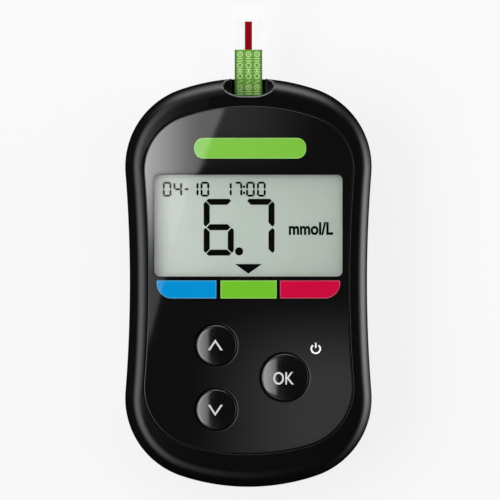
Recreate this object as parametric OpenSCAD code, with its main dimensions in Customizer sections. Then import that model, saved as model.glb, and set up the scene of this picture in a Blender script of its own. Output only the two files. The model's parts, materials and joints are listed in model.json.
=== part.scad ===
// Hand-held blood glucose meter, lying on its back with a test strip in its port.
// The origin is the centre of the body outline on the rest plane.
// +Z points out of the display and +Y towards the strip port. All sizes are in millimetres.

/* [Body] */
// Length of the body
body_l = 86; // [85.5:0.1:87]
// Greatest width of the body
body_w = 52; // [51.8:0.1:53]
// Width at the waist
waist_w = 49.94; // [49.6:0.02:50.4]
// Distance of the corner arcs' centres from mid length
corner_y = 24.37; // [24:0.01:24.8]
// Plan radius of the corner arcs
corner_r = 17.2; // [16.8:0.1:17.6]
// Height of the rim above the rest plane
rim_z = 15.5; // [15.4:0.1:15.8]
// Height of the seam between the two housings
split_z = 8.4; // [8.4:0.1:8.5]
// Thickness of the housing walls
wall = 1.6; // [1.5:0.05:1.65]

/* [Edges] */
// How far the rounding of the back reaches in from the side
back_run = 5; // [4.5:0.1:5.4]
// How high the rounding of the back reaches
back_rise = 6; // [5.6:0.1:6.2]
// How far the rounding of the front reaches in from the side
front_run = 3.5; // [3.2:0.1:3.6]
// How far the rounding of the front reaches down from the rim
front_rise = 4.5; // [4:0.1:5]
// Chamfer on both sides of the seam
seam = 0.15; // [0.1:0.05:0.2]

/* [Panel] */
// Length of the inset panel above the waist
panel_up = 37.2; // [36.8:0.1:37.4]
// Length of the inset panel below the waist
panel_down = 36; // [35.6:0.1:36.4]
// Greatest width of the inset panel
panel_w = 44.1; // [43.8:0.1:44.2]
// Width of the inset panel at the waist
panel_waist_w = 42.3; // [42:0.1:42.5]
// Distance of the panel's upper corner arcs' centres from the waist
panel_up_corner_y = 23.54; // [23.44:0.02:23.64]
// Plan radius of the panel's upper corner arcs
panel_up_corner_r = 11.94; // [11.84:0.02:12.04]
// Distance of the panel's lower corner arcs' centres from the waist
panel_down_corner_y = 21.85; // [21.75:0.05:21.95]
// Plan radius of the panel's lower corner arcs
panel_down_corner_r = 12.86; // [12.76:0.02:12.96]
// Thickness of the clear lens
lens_t = 1.3; // [1.2:0.1:1.4]
// Bevel round the top edge of the lens
lens_bevel = 0.3; // [0.2:0.05:0.4]
// Gap between the lens and the housing
lens_gap = 0.1; // [0.08:0.01:0.15]
// Thickness of the printed film behind the lens
film_t = 0.1; // [0.08:0.01:0.12]
// Thickness of the adhesive foam under the film
tape_t = 0.2; // [0.18:0.01:0.22]
// Thickness of the housing deck under the panel
deck_t = 1.2; // [1.1:0.1:1.3]

/* [Display] */
// Width of the clear window
window_w = 39.4; // [38:0.1:39.6]
// Height of the clear window
window_h = 21.3; // [20:0.1:21.6]
// Corner radius of the clear window
window_r = 1.1; // [0.8:0.1:1.5]
// Distance of the window's centre above mid length
window_y = 11.94; // [11.8:0.01:12]
// Width of the display glass
glass_w = 42; // [41.5:0.1:42.2]
// Height of the display glass
glass_h = 25.5; // [25.3:0.1:25.6]
// Thickness of each display glass
glass_t = 1.1; // [1:0.05:1.1]
// Strip of the front glass that stands out for the contacts
glass_ledge = 2.7; // [2.5:0.1:3]

/* [Keys] */
// Radius of the up and down keys
side_key_r = 4.18; // [4:0.01:4.3]
// Radius of the OK key
ok_key_r = 4.95; // [4.7:0.01:5]
// Sideways place of the up and down keys
side_key_x = -6.71; // [-7:0.01:-6.5]
// Lengthways place of the up key
up_key_y = -13.12; // [-13.3:0.01:-13]
// Lengthways place of the down key
down_key_y = -26.58; // [-27:0.01:-26.4]
// Sideways place of the OK key
ok_key_x = 7.64; // [7.4:0.01:7.9]
// Lengthways place of the OK key
ok_key_y = -19.84; // [-20:0.01:-19.6]
// How far the keys stand above the rim
key_proud = 0.5; // [0.4:0.05:0.6]
// Travel of the keys
key_travel = 0.35; // [0.25:0.05:0.35]
// Gap round the keys
key_gap = 0.17; // [0.12:0.01:0.2]
// Radius of the dome of the key tops
key_dome_r = 30; // [28:1:40]

/* [Strip and port] */
// Width of the test strip
strip_w = 5.8; // [5.6:0.1:6]
// Length of the test strip
strip_l = 29; // [28.8:0.1:29]
// How far the strip stands out of the body
strip_out = 12.5; // [12.5:0.1:12.7]
// Length of the clear end of the strip
strip_clear_l = 6.43; // [6:0.01:7]
// Width of the reaction channel
channel_w = 1.5; // [1.2:0.1:1.8]
// Distance of the scoop's front edge from mid length
scoop_y = 39; // [38.9:0.05:39.1]
// Width of the scoop at the rim
scoop_w = 13.8; // [13.4:0.1:14]
// Width of the slot at the foot of the scoop
scoop_foot_w = 7; // [6.9:0.1:7.1]
// Plan radius of the scoop's front corners at the rim
scoop_corner_r = 4.8; // [4.6:0.1:5]
// Chamfer round the scoop where it breaks through the rim
scoop_edge = 0.3; // [0.2:0.05:0.35]
// Width of the groove that the strip lies in
groove_w = 7.2; // [7:0.1:7.4]

/* [Battery] */
// Diameter of the coin cell
cell_d = 20; // [20:0.1:20]
// Thickness of the coin cell
cell_t = 3.2; // [3.2:0.1:3.2]
// Lengthways place of the coin cell
cell_y = -21; // [-21.5:0.1:-20.5]
// Width of the battery door
door_w = 25; // [24.5:0.1:25.5]
// Lengthways place of the door's inner edge
door_y = -8.5; // [-9:0.1:-8.2]
// Thickness of the battery door
door_t = 1.2; // [1.2:0.05:1.2]
// Gap round the battery door
door_gap = 0.2; // [0.15:0.01:0.2]

/* [Board] */
// Thickness of the main board
board_t = 1; // [0.8:0.1:1]
// Gap from the body outline to the board's edge
board_inset = 2.7; // [2.7:0.1:3]
// Sideways place of the case screws
screw_x = 17.5; // [17.2:0.1:17.8]
// Lengthways place of the case screws
screw_y = 30.5; // [30.2:0.1:30.8]

/* [Hidden] */

$fn = 64;
side_steps = 3;
corner_steps = 8;
end_steps = 5;
round_steps = 6;

// How far a cutting shape runs past the face that it cuts
over = 1;
// Clearance between pieces that fit into each other
fit = 0.1;

// An outline is [half length, half width, corner arc's centre, corner radius, half width at the waist]
BODY = [body_l / 2, body_w / 2, corner_y, corner_r, waist_w / 2];
PANEL_UP = [panel_up, panel_w / 2, panel_up_corner_y, panel_up_corner_r, panel_waist_w / 2];
PANEL_DOWN = [panel_down, panel_w / 2, panel_down_corner_y, panel_down_corner_r, panel_waist_w / 2];

// Heights of the stack from the rim down to the board
film_z = rim_z - lens_t - film_t;
tape_z = film_z - tape_t;
deck_z = tape_z - deck_t;
key_top_z = rim_z + key_proud;
board_z = split_z - board_t;

// The housing's window is larger than the film's, and the tape stays clear of both edges
window_ledge = 0.5;
tape_inset = 0.6;
tape_window_gap = 0.7;
tape_key_gap = 1;

// Display stack
glass_y = window_y - glass_h / 2;
polariser_t = 0.2;
polariser_inset = 0.4;
reflector_t = 0.15;
reflector_inset = 0.3;
rear_glass_z = split_z + 1.65;
front_glass_z = rear_glass_z + glass_t;
reflector_z = rear_glass_z - reflector_t;
holder_wall = 0.8;
holder_corner_r = 1;
holder_top_z = deck_z - fit;
holder_rest = 2;
zebra_w = 38;
zebra_d = 1.6;
zebra_y = glass_y + 0.5;
zebra_gap = 0.2;

// Keys
key_flange = 1;
key_flange_t = 0.6;
key_flange_z = deck_z - 0.05 - key_flange_t;
key_skin = 0.8;
key_edge_r = 0.45;
key_roof_z = key_top_z - 1.3;
key_stem_r = 1.3;
key_rib_t = 0.6;
key_tab_w = 1.2;
collar_gap = 0.25;
collar_t = 0.8;
collar_z = split_z + 3;
KEYS = [
    [side_key_x, up_key_y, side_key_r],
    [side_key_x, down_key_y, side_key_r],
    [ok_key_x, ok_key_y, ok_key_r]
];

// Switches
switch_w = 4.5;
switch_t = 1.5;
switch_lid_t = 0.3;
switch_foot = [0.9, 0.7, 0.25];
plunger_r = 1.1;
plunger_collar = 0.3;
plunger_collar_t = 0.25;
plunger_z = split_z + 0.4 + key_travel;
plunger_top_z = split_z + switch_t + 0.5;

// Strip layers
base_t = 0.35;
spacer_t = 0.07;
cover_t = 0.08;
electrode_t = 0.03;
electrode_w = 1.2;
electrode_pitch = 1.8;
contact_pad_l = 4;
strip_corner_r = 0.7;
channel_end = 0.48;
groove_z = split_z + 0.4;
strip_z = groove_z + 0.05;
layer_z = strip_z + base_t;
strip_t = base_t + spacer_t + cover_t;
strip_tip_y = body_l / 2 + strip_out;
strip_end_y = strip_tip_y - strip_l;
spacer_y = strip_end_y + contact_pad_l;
clear_y = strip_tip_y - strip_clear_l;

// Shelf under the scoop, slot in its back wall and the connector behind it
shelf_w = 10;
shelf_t = 2;
shelf_z = split_z + 1;
scoop_wall = 1.2;
scoop_foot_z = split_z + 1.6;
scoop_foot_corner_r = 1;
scoop_lean = 0.4;
shelf_y = scoop_y - scoop_wall;
port_w = 6.5;
port_h = 1.1;
port_z = groove_z - 0.1;
connector_w = 10.8;
connector_l = 11;
connector_t = 2.8;
connector_y = strip_end_y - 0.85;
connector_slack = 0.15;
funnel = 0.55;
contact_w = 0.6;
contact_t = 0.16;
contact_slot_l = 7.5;

// Battery compartment
cell_z = 1.8;
cell_top_z = cell_z + cell_t;
well_r = cell_d / 2 + 0.4;
well_wall = 1;
well_roof_z = cell_top_z + 0.5;
well_roof_t = 0.8;
spring_t = 0.15;
leaf_t = 0.18;
leaf_h = 2.2;
leaf_angle = 48;
negative_tail_w = 2;
positive_tail_w = 1.6;
ribbon_t = 0.18;
ribbon_gap = 0.12;
ribbon_w = 8;

// Battery door
door_skin = door_gap + door_t;
pocket = door_skin + door_gap;
tray_t = 1.2;
tray_margin = 2;
door_top_z = back_rise;
door_corner_r = 2;
tongue_w = 1;
tongue_t = 0.6;
tongue_gap = 0.15;
tongue_y = -36;
tongue_l = 22;
tongue_slot_z = pocket - tongue_t - 2 * tongue_gap - 0.05;
detent_r = 0.8;
detent_y = door_y - 3;
thumb_y = -31;
thumb_w = 13;
thumb_depth = 0.5;
thumb_r = 22;
ridge_pitch = 1.8;
ridge_w = 0.6;

// Screws, the bosses that they draw together and the columns that carry the board
screw_r = 0.78;
pilot_r = 0.8;
pilot_l = 4.2;
clear_hole_r = 0.95;
head_r = 1.5;
head_t = 1.1;
head_z = 1;
head_gap = 0.2;
boss_r = 2.3;
column_r = 2.6;
support_x = 15;
support_r = 1.8;
rib_t = 1;
screw_rib_l = 12;
screw_rib_h = 4.5;
floor_rib_y = -10;
floor_rib_l = 40;
floor_rib_h = 3;
SCREWS = [for (sx = [-1, 1], sy = [-1, 1]) [sx * screw_x, sy * screw_y]];

// Lip on the back housing's edge, inside the front housing
lip_t = 0.85;
lip_foot = 1.8;
lip_h = 1.2;

// Data socket
socket_w = 7.5;
socket_h = 2.5;
socket_l = 5.4;
socket_wall = 0.3;
socket_bevel = [1.2, 1];
socket_y = -body_l / 2 + 0.5;
socket_gap = 0.3;

// Places of the parts on the board
CONTROLLER = [0, 13];
ANALOGUE = [11.5, 33];
RADIO = [-16, -20];
CRYSTAL = [15.5, -8];

SHELL = "#17171a";
KEY_BLACK = "#1b1b1e";
CHIP_BLACK = "#222225";
CLEAR = [0.85, 0.9, 0.92, 0.45];
STEEL = "#b9bcc0";
GOLD = "#c9a24a";

// Centres and radii of the tangent arcs of an outline:
// [corner x, corner y, corner radius, side radius, side centre x, end radius, end centre y]
function arcs(o) = let (
    x = o[1] - o[3],
    d = o[1] - o[4],
    side = (d * d + o[2] * o[2]) / (2 * d) - o[3],
    k = o[0] - o[2],
    end = (x * x + k * k - o[3] * o[3]) / (2 * (k - o[3]))
) [x, o[2], o[3], side, o[4] + side, end, o[0] - end];

// A quarter of an outline from the waist to the middle of its end, moved inwards by i
function quarter(o, i) = let (
    a = arcs(o),
    t_side = atan2(a[1], a[4] - a[0]),
    t_end = atan2(a[1] - a[6], a[0])
) concat(
    [for (s = [0:side_steps - 1]) let (t = t_side * s / side_steps)
        [a[4] - (a[3] + i) * cos(t), (a[3] + i) * sin(t)]],
    [for (s = [0:corner_steps - 1]) let (t = -t_side + (t_end + t_side) * s / corner_steps)
        [a[0] + (a[2] - i) * cos(t), a[1] + (a[2] - i) * sin(t)]],
    [for (s = [0:end_steps]) let (t = t_end + (90 - t_end) * s / end_steps)
        [(a[5] - i) * cos(t), a[6] + (a[5] - i) * sin(t)]]
);

// A whole outline, anticlockwise from the waist at +X
function outline(up, down, i) = let (
    u = quarter(up, i),
    d = quarter(down, i),
    n = len(u) - 1
) concat(
    [for (k = [0:n - 1]) u[k]],
    [for (k = [n:-1:1]) [-u[k].x, u[k].y]],
    [for (k = [0:n - 1]) [-d[k].x, -d[k].y]],
    [for (k = [n:-1:1]) [d[k].x, -d[k].y]]
);

// Profiles are lists of [inset, height]; the offset o moves them into the material
function back_profile(o, chamfer = 0) = concat(
    [for (s = [0:round_steps]) let (t = 90 - 90 * s / round_steps)
        [back_run - (back_run - o) * cos(t), back_rise - (back_rise - o) * sin(t)]],
    [[o, split_z - chamfer]],
    chamfer > 0 ? [[o + chamfer, split_z]] : [[o, split_z + over]]
);

function front_profile(o, chamfer, t_last, steps) = concat(
    chamfer > 0 ? [[o + chamfer, split_z], [o, split_z + chamfer]] : [[o, split_z - over]],
    [for (s = [0:steps]) let (t = t_last * s / steps)
        [front_run - (front_run - o) * cos(t), rim_z - front_rise + (front_rise - o) * sin(t)]]
);

// Join rings of points, from the lowest to the highest
module skin(rings) {
    n = len(rings[0]);
    m = len(rings);
    polyhedron(
        points = [for (r = rings) each r],
        faces = concat(
            [[for (k = [0:n - 1]) k]],
            [for (j = [0:m - 2], k = [0:n - 1]) let (e = (k + 1) % n)
                [j * n + k, (j + 1) * n + k, (j + 1) * n + e, j * n + e]],
            [[for (k = [n - 1:-1:0]) (m - 1) * n + k]]
        )
    );
}

// Skin an outline along a profile
module loft(up, down, profile) {
    skin([for (s = profile) [for (p = outline(up, down, s[0])) [p.x, p.y, s[1]]]]);
}

module body_plan(inset) {
    polygon(outline(BODY, BODY, inset));
}

module panel_plan(inset) {
    polygon(outline(PANEL_UP, PANEL_DOWN, inset));
}

module slab(z, t) {
    translate([0, 0, z]) linear_extrude(t) children();
}

// A block centred in X, from y to y + l and from z to z + h
module block(w, y, l, z, h) {
    translate([-w / 2, y, z]) cube([w, l, h]);
}

module block_at(x, w, y, l, z, h) {
    translate([x, 0, 0]) block(w, y, l, z, h);
}

module both_sides(x) {
    for (sx = [-1, 1]) translate([sx * x, 0, 0]) children();
}

module at_screws(z) {
    for (s = SCREWS) translate([s.x, s.y, z]) children();
}

module rounded_rect(w, h, r) {
    square([w - 2 * r, h], center = true);
    square([w, h - 2 * r], center = true);
    for (sx = [-1, 1], sy = [-1, 1])
        translate([sx * (w / 2 - r), sy * (h / 2 - r)]) circle(r);
}

// Sheet metal of one thickness bent along a path in the YZ plane, centred on x
module bent_strip(path, t, x, w) {
    translate([x - w / 2, 0, 0]) rotate([90, 0, 90]) linear_extrude(w) {
        for (k = [0:len(path) - 2]) {
            step = path[k + 1] - path[k];
            translate(path[k]) rotate(atan2(step.y, step.x)) translate([0, -t / 2]) square([norm(step), t]);
        }
        for (p = path) translate(p) circle(d = t, $fn = 16);
    }
}

module key_plans(extra) {
    for (k = KEYS) translate([k[0], k[1]]) circle(k[2] + extra);
}

module window_plan(grow) {
    translate([0, window_y]) rounded_rect(window_w + 2 * grow, window_h + 2 * grow, window_r + grow);
}

// The scooped strip mouth at one height, grown outwards: a U with rounded corners, open at the end of
// the body. It flares from a slot round the strip to a wide mouth at the rim, and its front leans back.
function scoop_ring(z, grow) = let (
    rise = max(0, min(1, (z - scoop_foot_z) / (rim_z - scoop_foot_z))),
    flare = rise * rise,
    w = (scoop_foot_w + (scoop_w - scoop_foot_w) * flare) / 2 + grow,
    r = scoop_foot_corner_r + (scoop_corner_r - scoop_foot_corner_r) * flare + grow,
    front = scoop_y + scoop_lean * (1 - rise) - grow
) concat(
    [[w, body_l / 2 + over, z]],
    [[-w, body_l / 2 + over, z]],
    [for (t = [180:15:270]) [-w + r + r * cos(t), front + r + r * sin(t), z]],
    [for (t = [270:15:360]) [w - r + r * cos(t), front + r + r * sin(t), z]]
);

module scoop(grow) {
    skin(concat(
        [scoop_ring(split_z - over, grow)],
        [for (s = [0:round_steps]) scoop_ring(scoop_foot_z + (rim_z - scoop_foot_z) * s / round_steps, grow)],
        [scoop_ring(rim_z + over, grow)]
    ));
}

// The chamfer round the scoop's edge, which fades out where the housing's rounding falls away
module scoop_chamfer() {
    skin([
        scoop_ring(rim_z - scoop_edge, 0),
        scoop_ring(rim_z, scoop_edge - 0.02),
        scoop_ring(rim_z + over, scoop_edge - 0.02)
    ]);
}

// ---- Front housing and panel ----

// The hollow of the front housing, with what stands in it left out
module front_cavity() {
    t_deck = asin((deck_z - rim_z + front_rise) / (front_rise - wall));
    difference() {
        loft(BODY, BODY, front_profile(wall, 0, t_deck, 2));
        scoop(scoop_wall);
        at_screws(board_z - over) cylinder(r = boss_r, h = deck_z);
        for (k = KEYS) translate([k[0], k[1], collar_z]) key_collar(k[2] + key_flange + collar_gap);
    }
}

// A collar that guides a key's flange, notched for the tab that stops the key from turning
module key_collar(r) {
    difference() {
        cylinder(r = r + collar_t, h = deck_z);
        translate([0, 0, -over]) cylinder(r = r, h = deck_z + 2 * over);
        block(key_tab_w + 2 * collar_gap, 0, body_w, -over, deck_z + 2 * over);
    }
}

module front_housing() color(SHELL) difference() {
    union() {
        difference() {
            loft(BODY, BODY, front_profile(0, seam, 90, round_steps));
            front_cavity();
        }
        at_screws(board_z) cylinder(r = boss_r, h = deck_z - board_z);
    }
    slab(tape_z, rim_z) panel_plan(0);
    slab(deck_z - over, rim_z) window_plan(window_ledge);
    slab(deck_z - over, rim_z) key_plans(key_gap);
    scoop(0);
    scoop_chamfer();
    block(port_w, shelf_y - over, scoop_y, port_z, port_h);
    block(shelf_w + 2 * fit, shelf_y - fit, scoop_y, split_z - over, shelf_z - split_z + fit + over);
    socket_opening(over);
    at_screws(board_z - over) cylinder(r = pilot_r, h = over + pilot_l);
}

module display_lens() color(CLEAR) difference() {
    loft(PANEL_UP, PANEL_DOWN, [
        [lens_gap, rim_z - lens_t],
        [lens_gap, rim_z - lens_bevel],
        [lens_gap + lens_bevel, rim_z]
    ]);
    slab(film_z, rim_z) key_plans(key_gap);
}

module graphic_film() color("#0e0e10") slab(film_z, film_t) difference() {
    panel_plan(lens_gap);
    window_plan(0);
    key_plans(key_gap);
}

module lens_tape() color("#2a2a2c") slab(tape_z, tape_t) difference() {
    panel_plan(tape_inset);
    window_plan(tape_window_gap);
    key_plans(tape_key_gap);
}

// ---- Display ----

// A plate of the display that stops short of the ledge which the contacts need
module display_plate(inset, z, t) {
    block(glass_w - 2 * inset, glass_y + glass_ledge, glass_h - glass_ledge - inset, z, t);
}

module lcd_polariser() color("#9fa89d") display_plate(polariser_inset, front_glass_z + glass_t, polariser_t);

module lcd_front_glass() color([0.7, 0.8, 0.75, 0.5]) block(glass_w, glass_y, glass_h, front_glass_z, glass_t);

module lcd_rear_glass() color([0.65, 0.75, 0.7, 0.5]) display_plate(0, rear_glass_z, glass_t);

module lcd_reflector() color("#b4beb4") display_plate(reflector_inset, reflector_z, reflector_t);

// A white frame with stepped seats for the two glasses and a slot for the zebra strip
module lcd_holder() color("#e8e8e4") {
    frame_w = glass_w + 2 * (fit + holder_wall);
    frame_h = glass_h + 2 * (fit + holder_wall);
    seat_w = glass_w + 2 * fit;
    rear_y = glass_y + glass_ledge;
    rear_h = glass_h - glass_ledge;
    difference() {
        slab(split_z, holder_top_z - split_z) translate([0, window_y])
            rounded_rect(frame_w, frame_h, holder_corner_r);
        block(seat_w, glass_y - fit, glass_h + 2 * fit, front_glass_z - 0.02, holder_top_z);
        block(seat_w, rear_y - fit, rear_h + 2 * fit, reflector_z, holder_top_z);
        block(zebra_w + 2 * zebra_gap, zebra_y - zebra_gap, zebra_d + 2 * zebra_gap,
            split_z - over, holder_top_z);
        block(glass_w - 2 * holder_rest, rear_y + holder_rest, rear_h - 2 * holder_rest,
            split_z - over, holder_top_z);
    }
}

module zebra_strip() color("#3c4a5c") block(zebra_w, zebra_y, zebra_d, split_z, front_glass_z - split_z);

// ---- Keys and switches ----

// Half section of a key: skin, retaining flange, rounded edge and domed top
function key_section(r) = let (
    top_r = r - key_edge_r,
    dome_z = key_top_z - key_dome_r,
    t_edge = acos(top_r / key_dome_r),
    edge_z = dome_z + key_dome_r * sin(t_edge) - key_edge_r
) concat(
    [[0, key_roof_z], [r - key_skin, key_roof_z], [r - key_skin, key_flange_z],
     [r + key_flange, key_flange_z], [r + key_flange, key_flange_z + key_flange_t],
     [r, key_flange_z + key_flange_t]],
    [for (t = [0:20:80]) [top_r + key_edge_r * cos(t), edge_z + key_edge_r * sin(t)]],
    [for (s = [0:5]) let (t = t_edge + (90 - t_edge) * s / 5)
        [key_dome_r * cos(t), dome_z + key_dome_r * sin(t)]]
);

// A hollow push key with a tab against turning and a ribbed stem that rests on the plunger
module key(k) {
    r = k[2];
    rib_h = key_roof_z - key_flange_z - 0.2;
    translate([k[0], k[1], 0]) {
        rotate_extrude() polygon(key_section(r));
        translate([0, 0, plunger_top_z]) cylinder(r = key_stem_r, h = key_roof_z - plunger_top_z + 0.1);
        for (a = [90:120:330]) rotate(a) translate([1, -key_rib_t / 2, key_roof_z + 0.1 - rib_h])
            cube([r - key_skin - 0.7, key_rib_t, rib_h]);
        block(key_tab_w, r + 0.5, key_flange, key_flange_z, key_flange_t);
    }
}

module up_key() color(KEY_BLACK) key(KEYS[0]);

module down_key() color(KEY_BLACK) key(KEYS[1]);

module ok_key() color(KEY_BLACK) key(KEYS[2]);

module plunger(k) {
    translate([k[0], k[1], plunger_z]) {
        cylinder(r = plunger_r, h = plunger_top_z - plunger_z);
        cylinder(r = plunger_r + plunger_collar, h = plunger_collar_t);
    }
}

module up_plunger() color("#2b2b2b") plunger(KEYS[0]);

module down_plunger() color("#2b2b2b") plunger(KEYS[1]);

module ok_plunger() color("#2b2b2b") plunger(KEYS[2]);

// A surface-mount switch: square body, stepped bore for its plunger and four feet
module tact_switch(k) {
    floor_z = plunger_z - split_z - key_travel - 0.05;
    translate([k[0], k[1], split_z]) {
        difference() {
            slab(0, switch_t) rounded_rect(switch_w, switch_w, 0.4);
            translate([0, 0, switch_t - switch_lid_t]) cylinder(r = plunger_r + fit, h = over);
            translate([0, 0, floor_z])
                cylinder(r = plunger_r + plunger_collar + fit, h = switch_t - switch_lid_t - floor_z);
        }
        for (sx = [-1, 1], sy = [-1, 1])
            translate([sx * (switch_w / 2 + 0.4) - switch_foot.x / 2, sy * 1.5 - switch_foot.y / 2, 0])
                cube(switch_foot);
    }
}

module up_switch() color(STEEL) tact_switch(KEYS[0]);

module down_switch() color(STEEL) tact_switch(KEYS[1]);

module ok_switch() color(STEEL) tact_switch(KEYS[2]);

// ---- Board and what is soldered to it ----

module main_board() color("#1f5a3a") slab(board_z, board_t) difference() {
    body_plan(board_inset);
    for (s = SCREWS) translate(s) circle(boss_r + 2 * fit);
    translate([-shelf_w / 2 - 2, shelf_y - 3 * fit]) square([shelf_w + 4, body_l]);
    both_sides(support_x) circle(1);
}

// A flat pack under the board, with bent leads on four sides and a mark at its first lead
module microcontroller() color(CHIP_BLACK) translate([CONTROLLER.x, CONTROLLER.y, board_z]) {
    case_w = 9;
    case_t = 1;
    stand_off = 0.2;
    leads = 12;
    pitch = 0.65;
    lead_w = 0.24;
    lead_t = 0.2;
    lead_l = 0.7;
    mark = case_w / 2 - 1;
    difference() {
        slab(-case_t - stand_off, case_t) rounded_rect(case_w, case_w, 0.3);
        translate([-mark, -mark, -case_t - stand_off - over]) cylinder(r = 0.4, h = over + 0.15);
    }
    for (a = [0:90:270], p = [0:leads - 1]) rotate(a)
        translate([case_w / 2, (p - (leads - 1) / 2) * pitch - lead_w / 2, 0]) {
            translate([-lead_t, 0, -lead_l]) cube([lead_l, lead_w, lead_t]);
            translate([lead_l - 2 * lead_t, 0, -lead_l]) cube([lead_t, lead_w, lead_l]);
            translate([lead_l - 2 * lead_t, 0, -lead_t]) cube([lead_l, lead_w, lead_t]);
        }
}

module analogue_chip() color(CHIP_BLACK) translate([ANALOGUE.x, ANALOGUE.y, split_z]) {
    body = [4, 5];
    pitch = 1.1;
    lead = [1, 0.4, 0.2];
    slab(0.1, 1.1) rounded_rect(body.x, body.y, 0.2);
    for (sx = [-1, 1], p = [0:3])
        translate([sx * (body.x / 2 + 0.4) - lead.x / 2, (p - 1.5) * pitch - lead.y / 2, 0]) cube(lead);
}

// A radio module: small board with a shielding can, its aerial end left clear
module radio_module() color("#a7a9ab") translate([RADIO.x, RADIO.y, split_z]) {
    carrier_t = 0.6;
    block(7, -5, 10, 0, carrier_t);
    block(6.2, -4.6, 7, carrier_t, 1.2);
}

// A tuning-fork crystal in its can, lying on the board
module clock_crystal() color(STEEL) translate([CRYSTAL.x, CRYSTAL.y, split_z + 1]) rotate([-90, 0, 0]) {
    cylinder(r = 1, h = 6);
    both_sides(0.35) translate([0, 0, -1.5]) cylinder(r = 0.15, h = 1.6, $fn = 16);
}

// Resistors and capacitors in rows beside the switches
module chip_components() color("#8a6f4d") {
    chip = [1, 0.5, 0.45];
    pitch = 1.4;
    for (row = [0:4], at = [[15, -20], [-16.5, -6.5]])
        translate([at.x, at.y - pitch * row, split_z]) cube(chip);
    for (p = [0:3]) translate([p - 1.5, -34.5, split_z]) cube([chip.y, chip.x, chip.z]);
    for (p = [0:3]) translate([8.5 + 1.8 * p, 28.5, split_z]) cube(chip);
}

// ---- Strip port ----

// The block behind the slot: a channel for the strip, a funnel mouth and three contact slots
module strip_connector() color("#2c2c30") difference() {
    slot_w = strip_w + 2 * connector_slack;
    slot_h = strip_t + connector_slack;
    mouth_y = connector_y + connector_l;
    block(connector_w, connector_y, connector_l, split_z, connector_t);
    block(slot_w, strip_end_y - 0.05, body_l, groove_z, slot_h);
    hull() {
        block(slot_w + 2 * funnel, mouth_y, over, groove_z - 0.2, slot_h + funnel);
        block(slot_w, mouth_y - 1.5, over, groove_z, slot_h);
    }
    for (p = [-1:1]) block_at(p * electrode_pitch, contact_w + 0.3, connector_y + 0.25, contact_slot_l,
        split_z - over, connector_t + 2 * over);
}

// Contacts that rise from the board, run forward and dip onto the strip's electrodes
module strip_contacts() color(GOLD) {
    top_z = split_z + 2.3;
    rest_z = layer_z + electrode_t + 0.12;
    for (p = [-1:1]) bent_strip([
        [strip_end_y - 0.3, split_z + contact_t / 2],
        [strip_end_y - 0.3, top_z],
        [strip_end_y + 4.8, top_z],
        [strip_end_y + 2.4, rest_z],
        [strip_end_y + 1.6, rest_z + 0.38]
    ], contact_t, p * electrode_pitch, contact_w);
}

// ---- Data socket ----

module socket_plan(grow) {
    w = socket_w / 2 + grow;
    h = socket_h + 2 * grow;
    translate([0, -grow]) polygon([
        [-w + socket_bevel.x, 0], [w - socket_bevel.x, 0], [w, socket_bevel.y], [w, h],
        [-w, h], [-w, socket_bevel.y]
    ]);
}

module data_socket() color(STEEL) translate([0, socket_y + socket_l, split_z]) rotate([90, 0, 0]) {
    difference() {
        linear_extrude(socket_l) socket_plan(0);
        translate([0, 0, 1]) linear_extrude(socket_l) socket_plan(-socket_wall);
    }
    both_sides(socket_w / 2 + 0.3) translate([-0.5, 0, 1]) cube([1, 0.25, 1.5]);
}

module socket_tongue() color("#1a1a1a") block(4, socket_y + 1, socket_l - 2, split_z + 1.35, 0.55);

// The opening for the socket, which starts at a distance under the seam
module socket_opening(down) {
    block(socket_w + 2 * socket_gap, -body_l, body_l / 2 + 3, split_z - down, socket_h + socket_gap + down);
}

// ---- Battery compartment ----

// A coin cell: can with a rounded rim, sealing groove and the smaller cap on top
module coin_cell() color("#c4c7ca") translate([0, cell_y, cell_z]) rotate_extrude() polygon([
    [0, 0], [cell_d / 2 - 0.4, 0], [cell_d / 2 - 0.1, 0.1], [cell_d / 2, 0.4],
    [cell_d / 2, cell_t - 0.5], [cell_d / 2 - 0.4, cell_t - 0.3], [cell_d / 2 - 0.9, cell_t - 0.3],
    [cell_d / 2 - 1, cell_t - 0.6], [cell_d / 2 - 1.15, cell_t - 0.6], [cell_d / 2 - 1.2, cell_t - 0.2],
    [cell_d / 2 - 1.5, cell_t], [0, cell_t]
]);

// Two sprung fingers on the cell's cap, joined by a plate and a tail that goes up to the board
module cell_contact_negative() color(STEEL) {
    root_y = cell_y + 7;
    root_z = cell_top_z + 0.42;
    for (sx = [-1, 1]) bent_strip([
        [root_y, root_z],
        [cell_y + 4.5, root_z],
        [cell_y + 1, cell_top_z + 0.12],
        [cell_y, cell_top_z + 0.3]
    ], spring_t, sx * 1.5, 1.2);
    bent_strip([[root_y, root_z], [root_y - 1, root_z]], spring_t, 0, 4);
    bent_strip([[root_y, root_z], [root_y, board_z - 0.08]], spring_t, 0, negative_tail_w);
}

// A curved leaf on the side of the can, with a tail that goes up to the board
module cell_contact_positive() color(STEEL) translate([0, cell_y, 0]) {
    translate([0, 0, cell_z + 0.5]) rotate(-leaf_angle / 2) rotate_extrude(angle = leaf_angle)
        translate([cell_d / 2 + 0.06, 0]) square([leaf_t, leaf_h]);
    translate([cell_d / 2 + 0.05, -positive_tail_w / 2, cell_z + 2])
        cube([leaf_t, positive_tail_w, board_z - cell_z - 2]);
}

// A pull ribbon that wraps one side of the cell
module cell_ribbon() color("#d8d8d2") translate([0, cell_y, 0]) intersection() {
    difference() {
        translate([0, 0, cell_z - 0.2]) cylinder(r = cell_d / 2 + ribbon_gap + ribbon_t, h = cell_t + 0.4);
        translate([0, 0, cell_z - 0.05]) cylinder(r = cell_d / 2 + ribbon_gap, h = cell_t + 0.1);
    }
    union() {
        block(ribbon_w, -cell_d, cell_d - 3, cell_z, cell_t + over);
        block(ribbon_w, -cell_d, cell_d + 4, cell_z - over, 2 * over);
    }
}

// ---- Back housing and door ----

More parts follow.
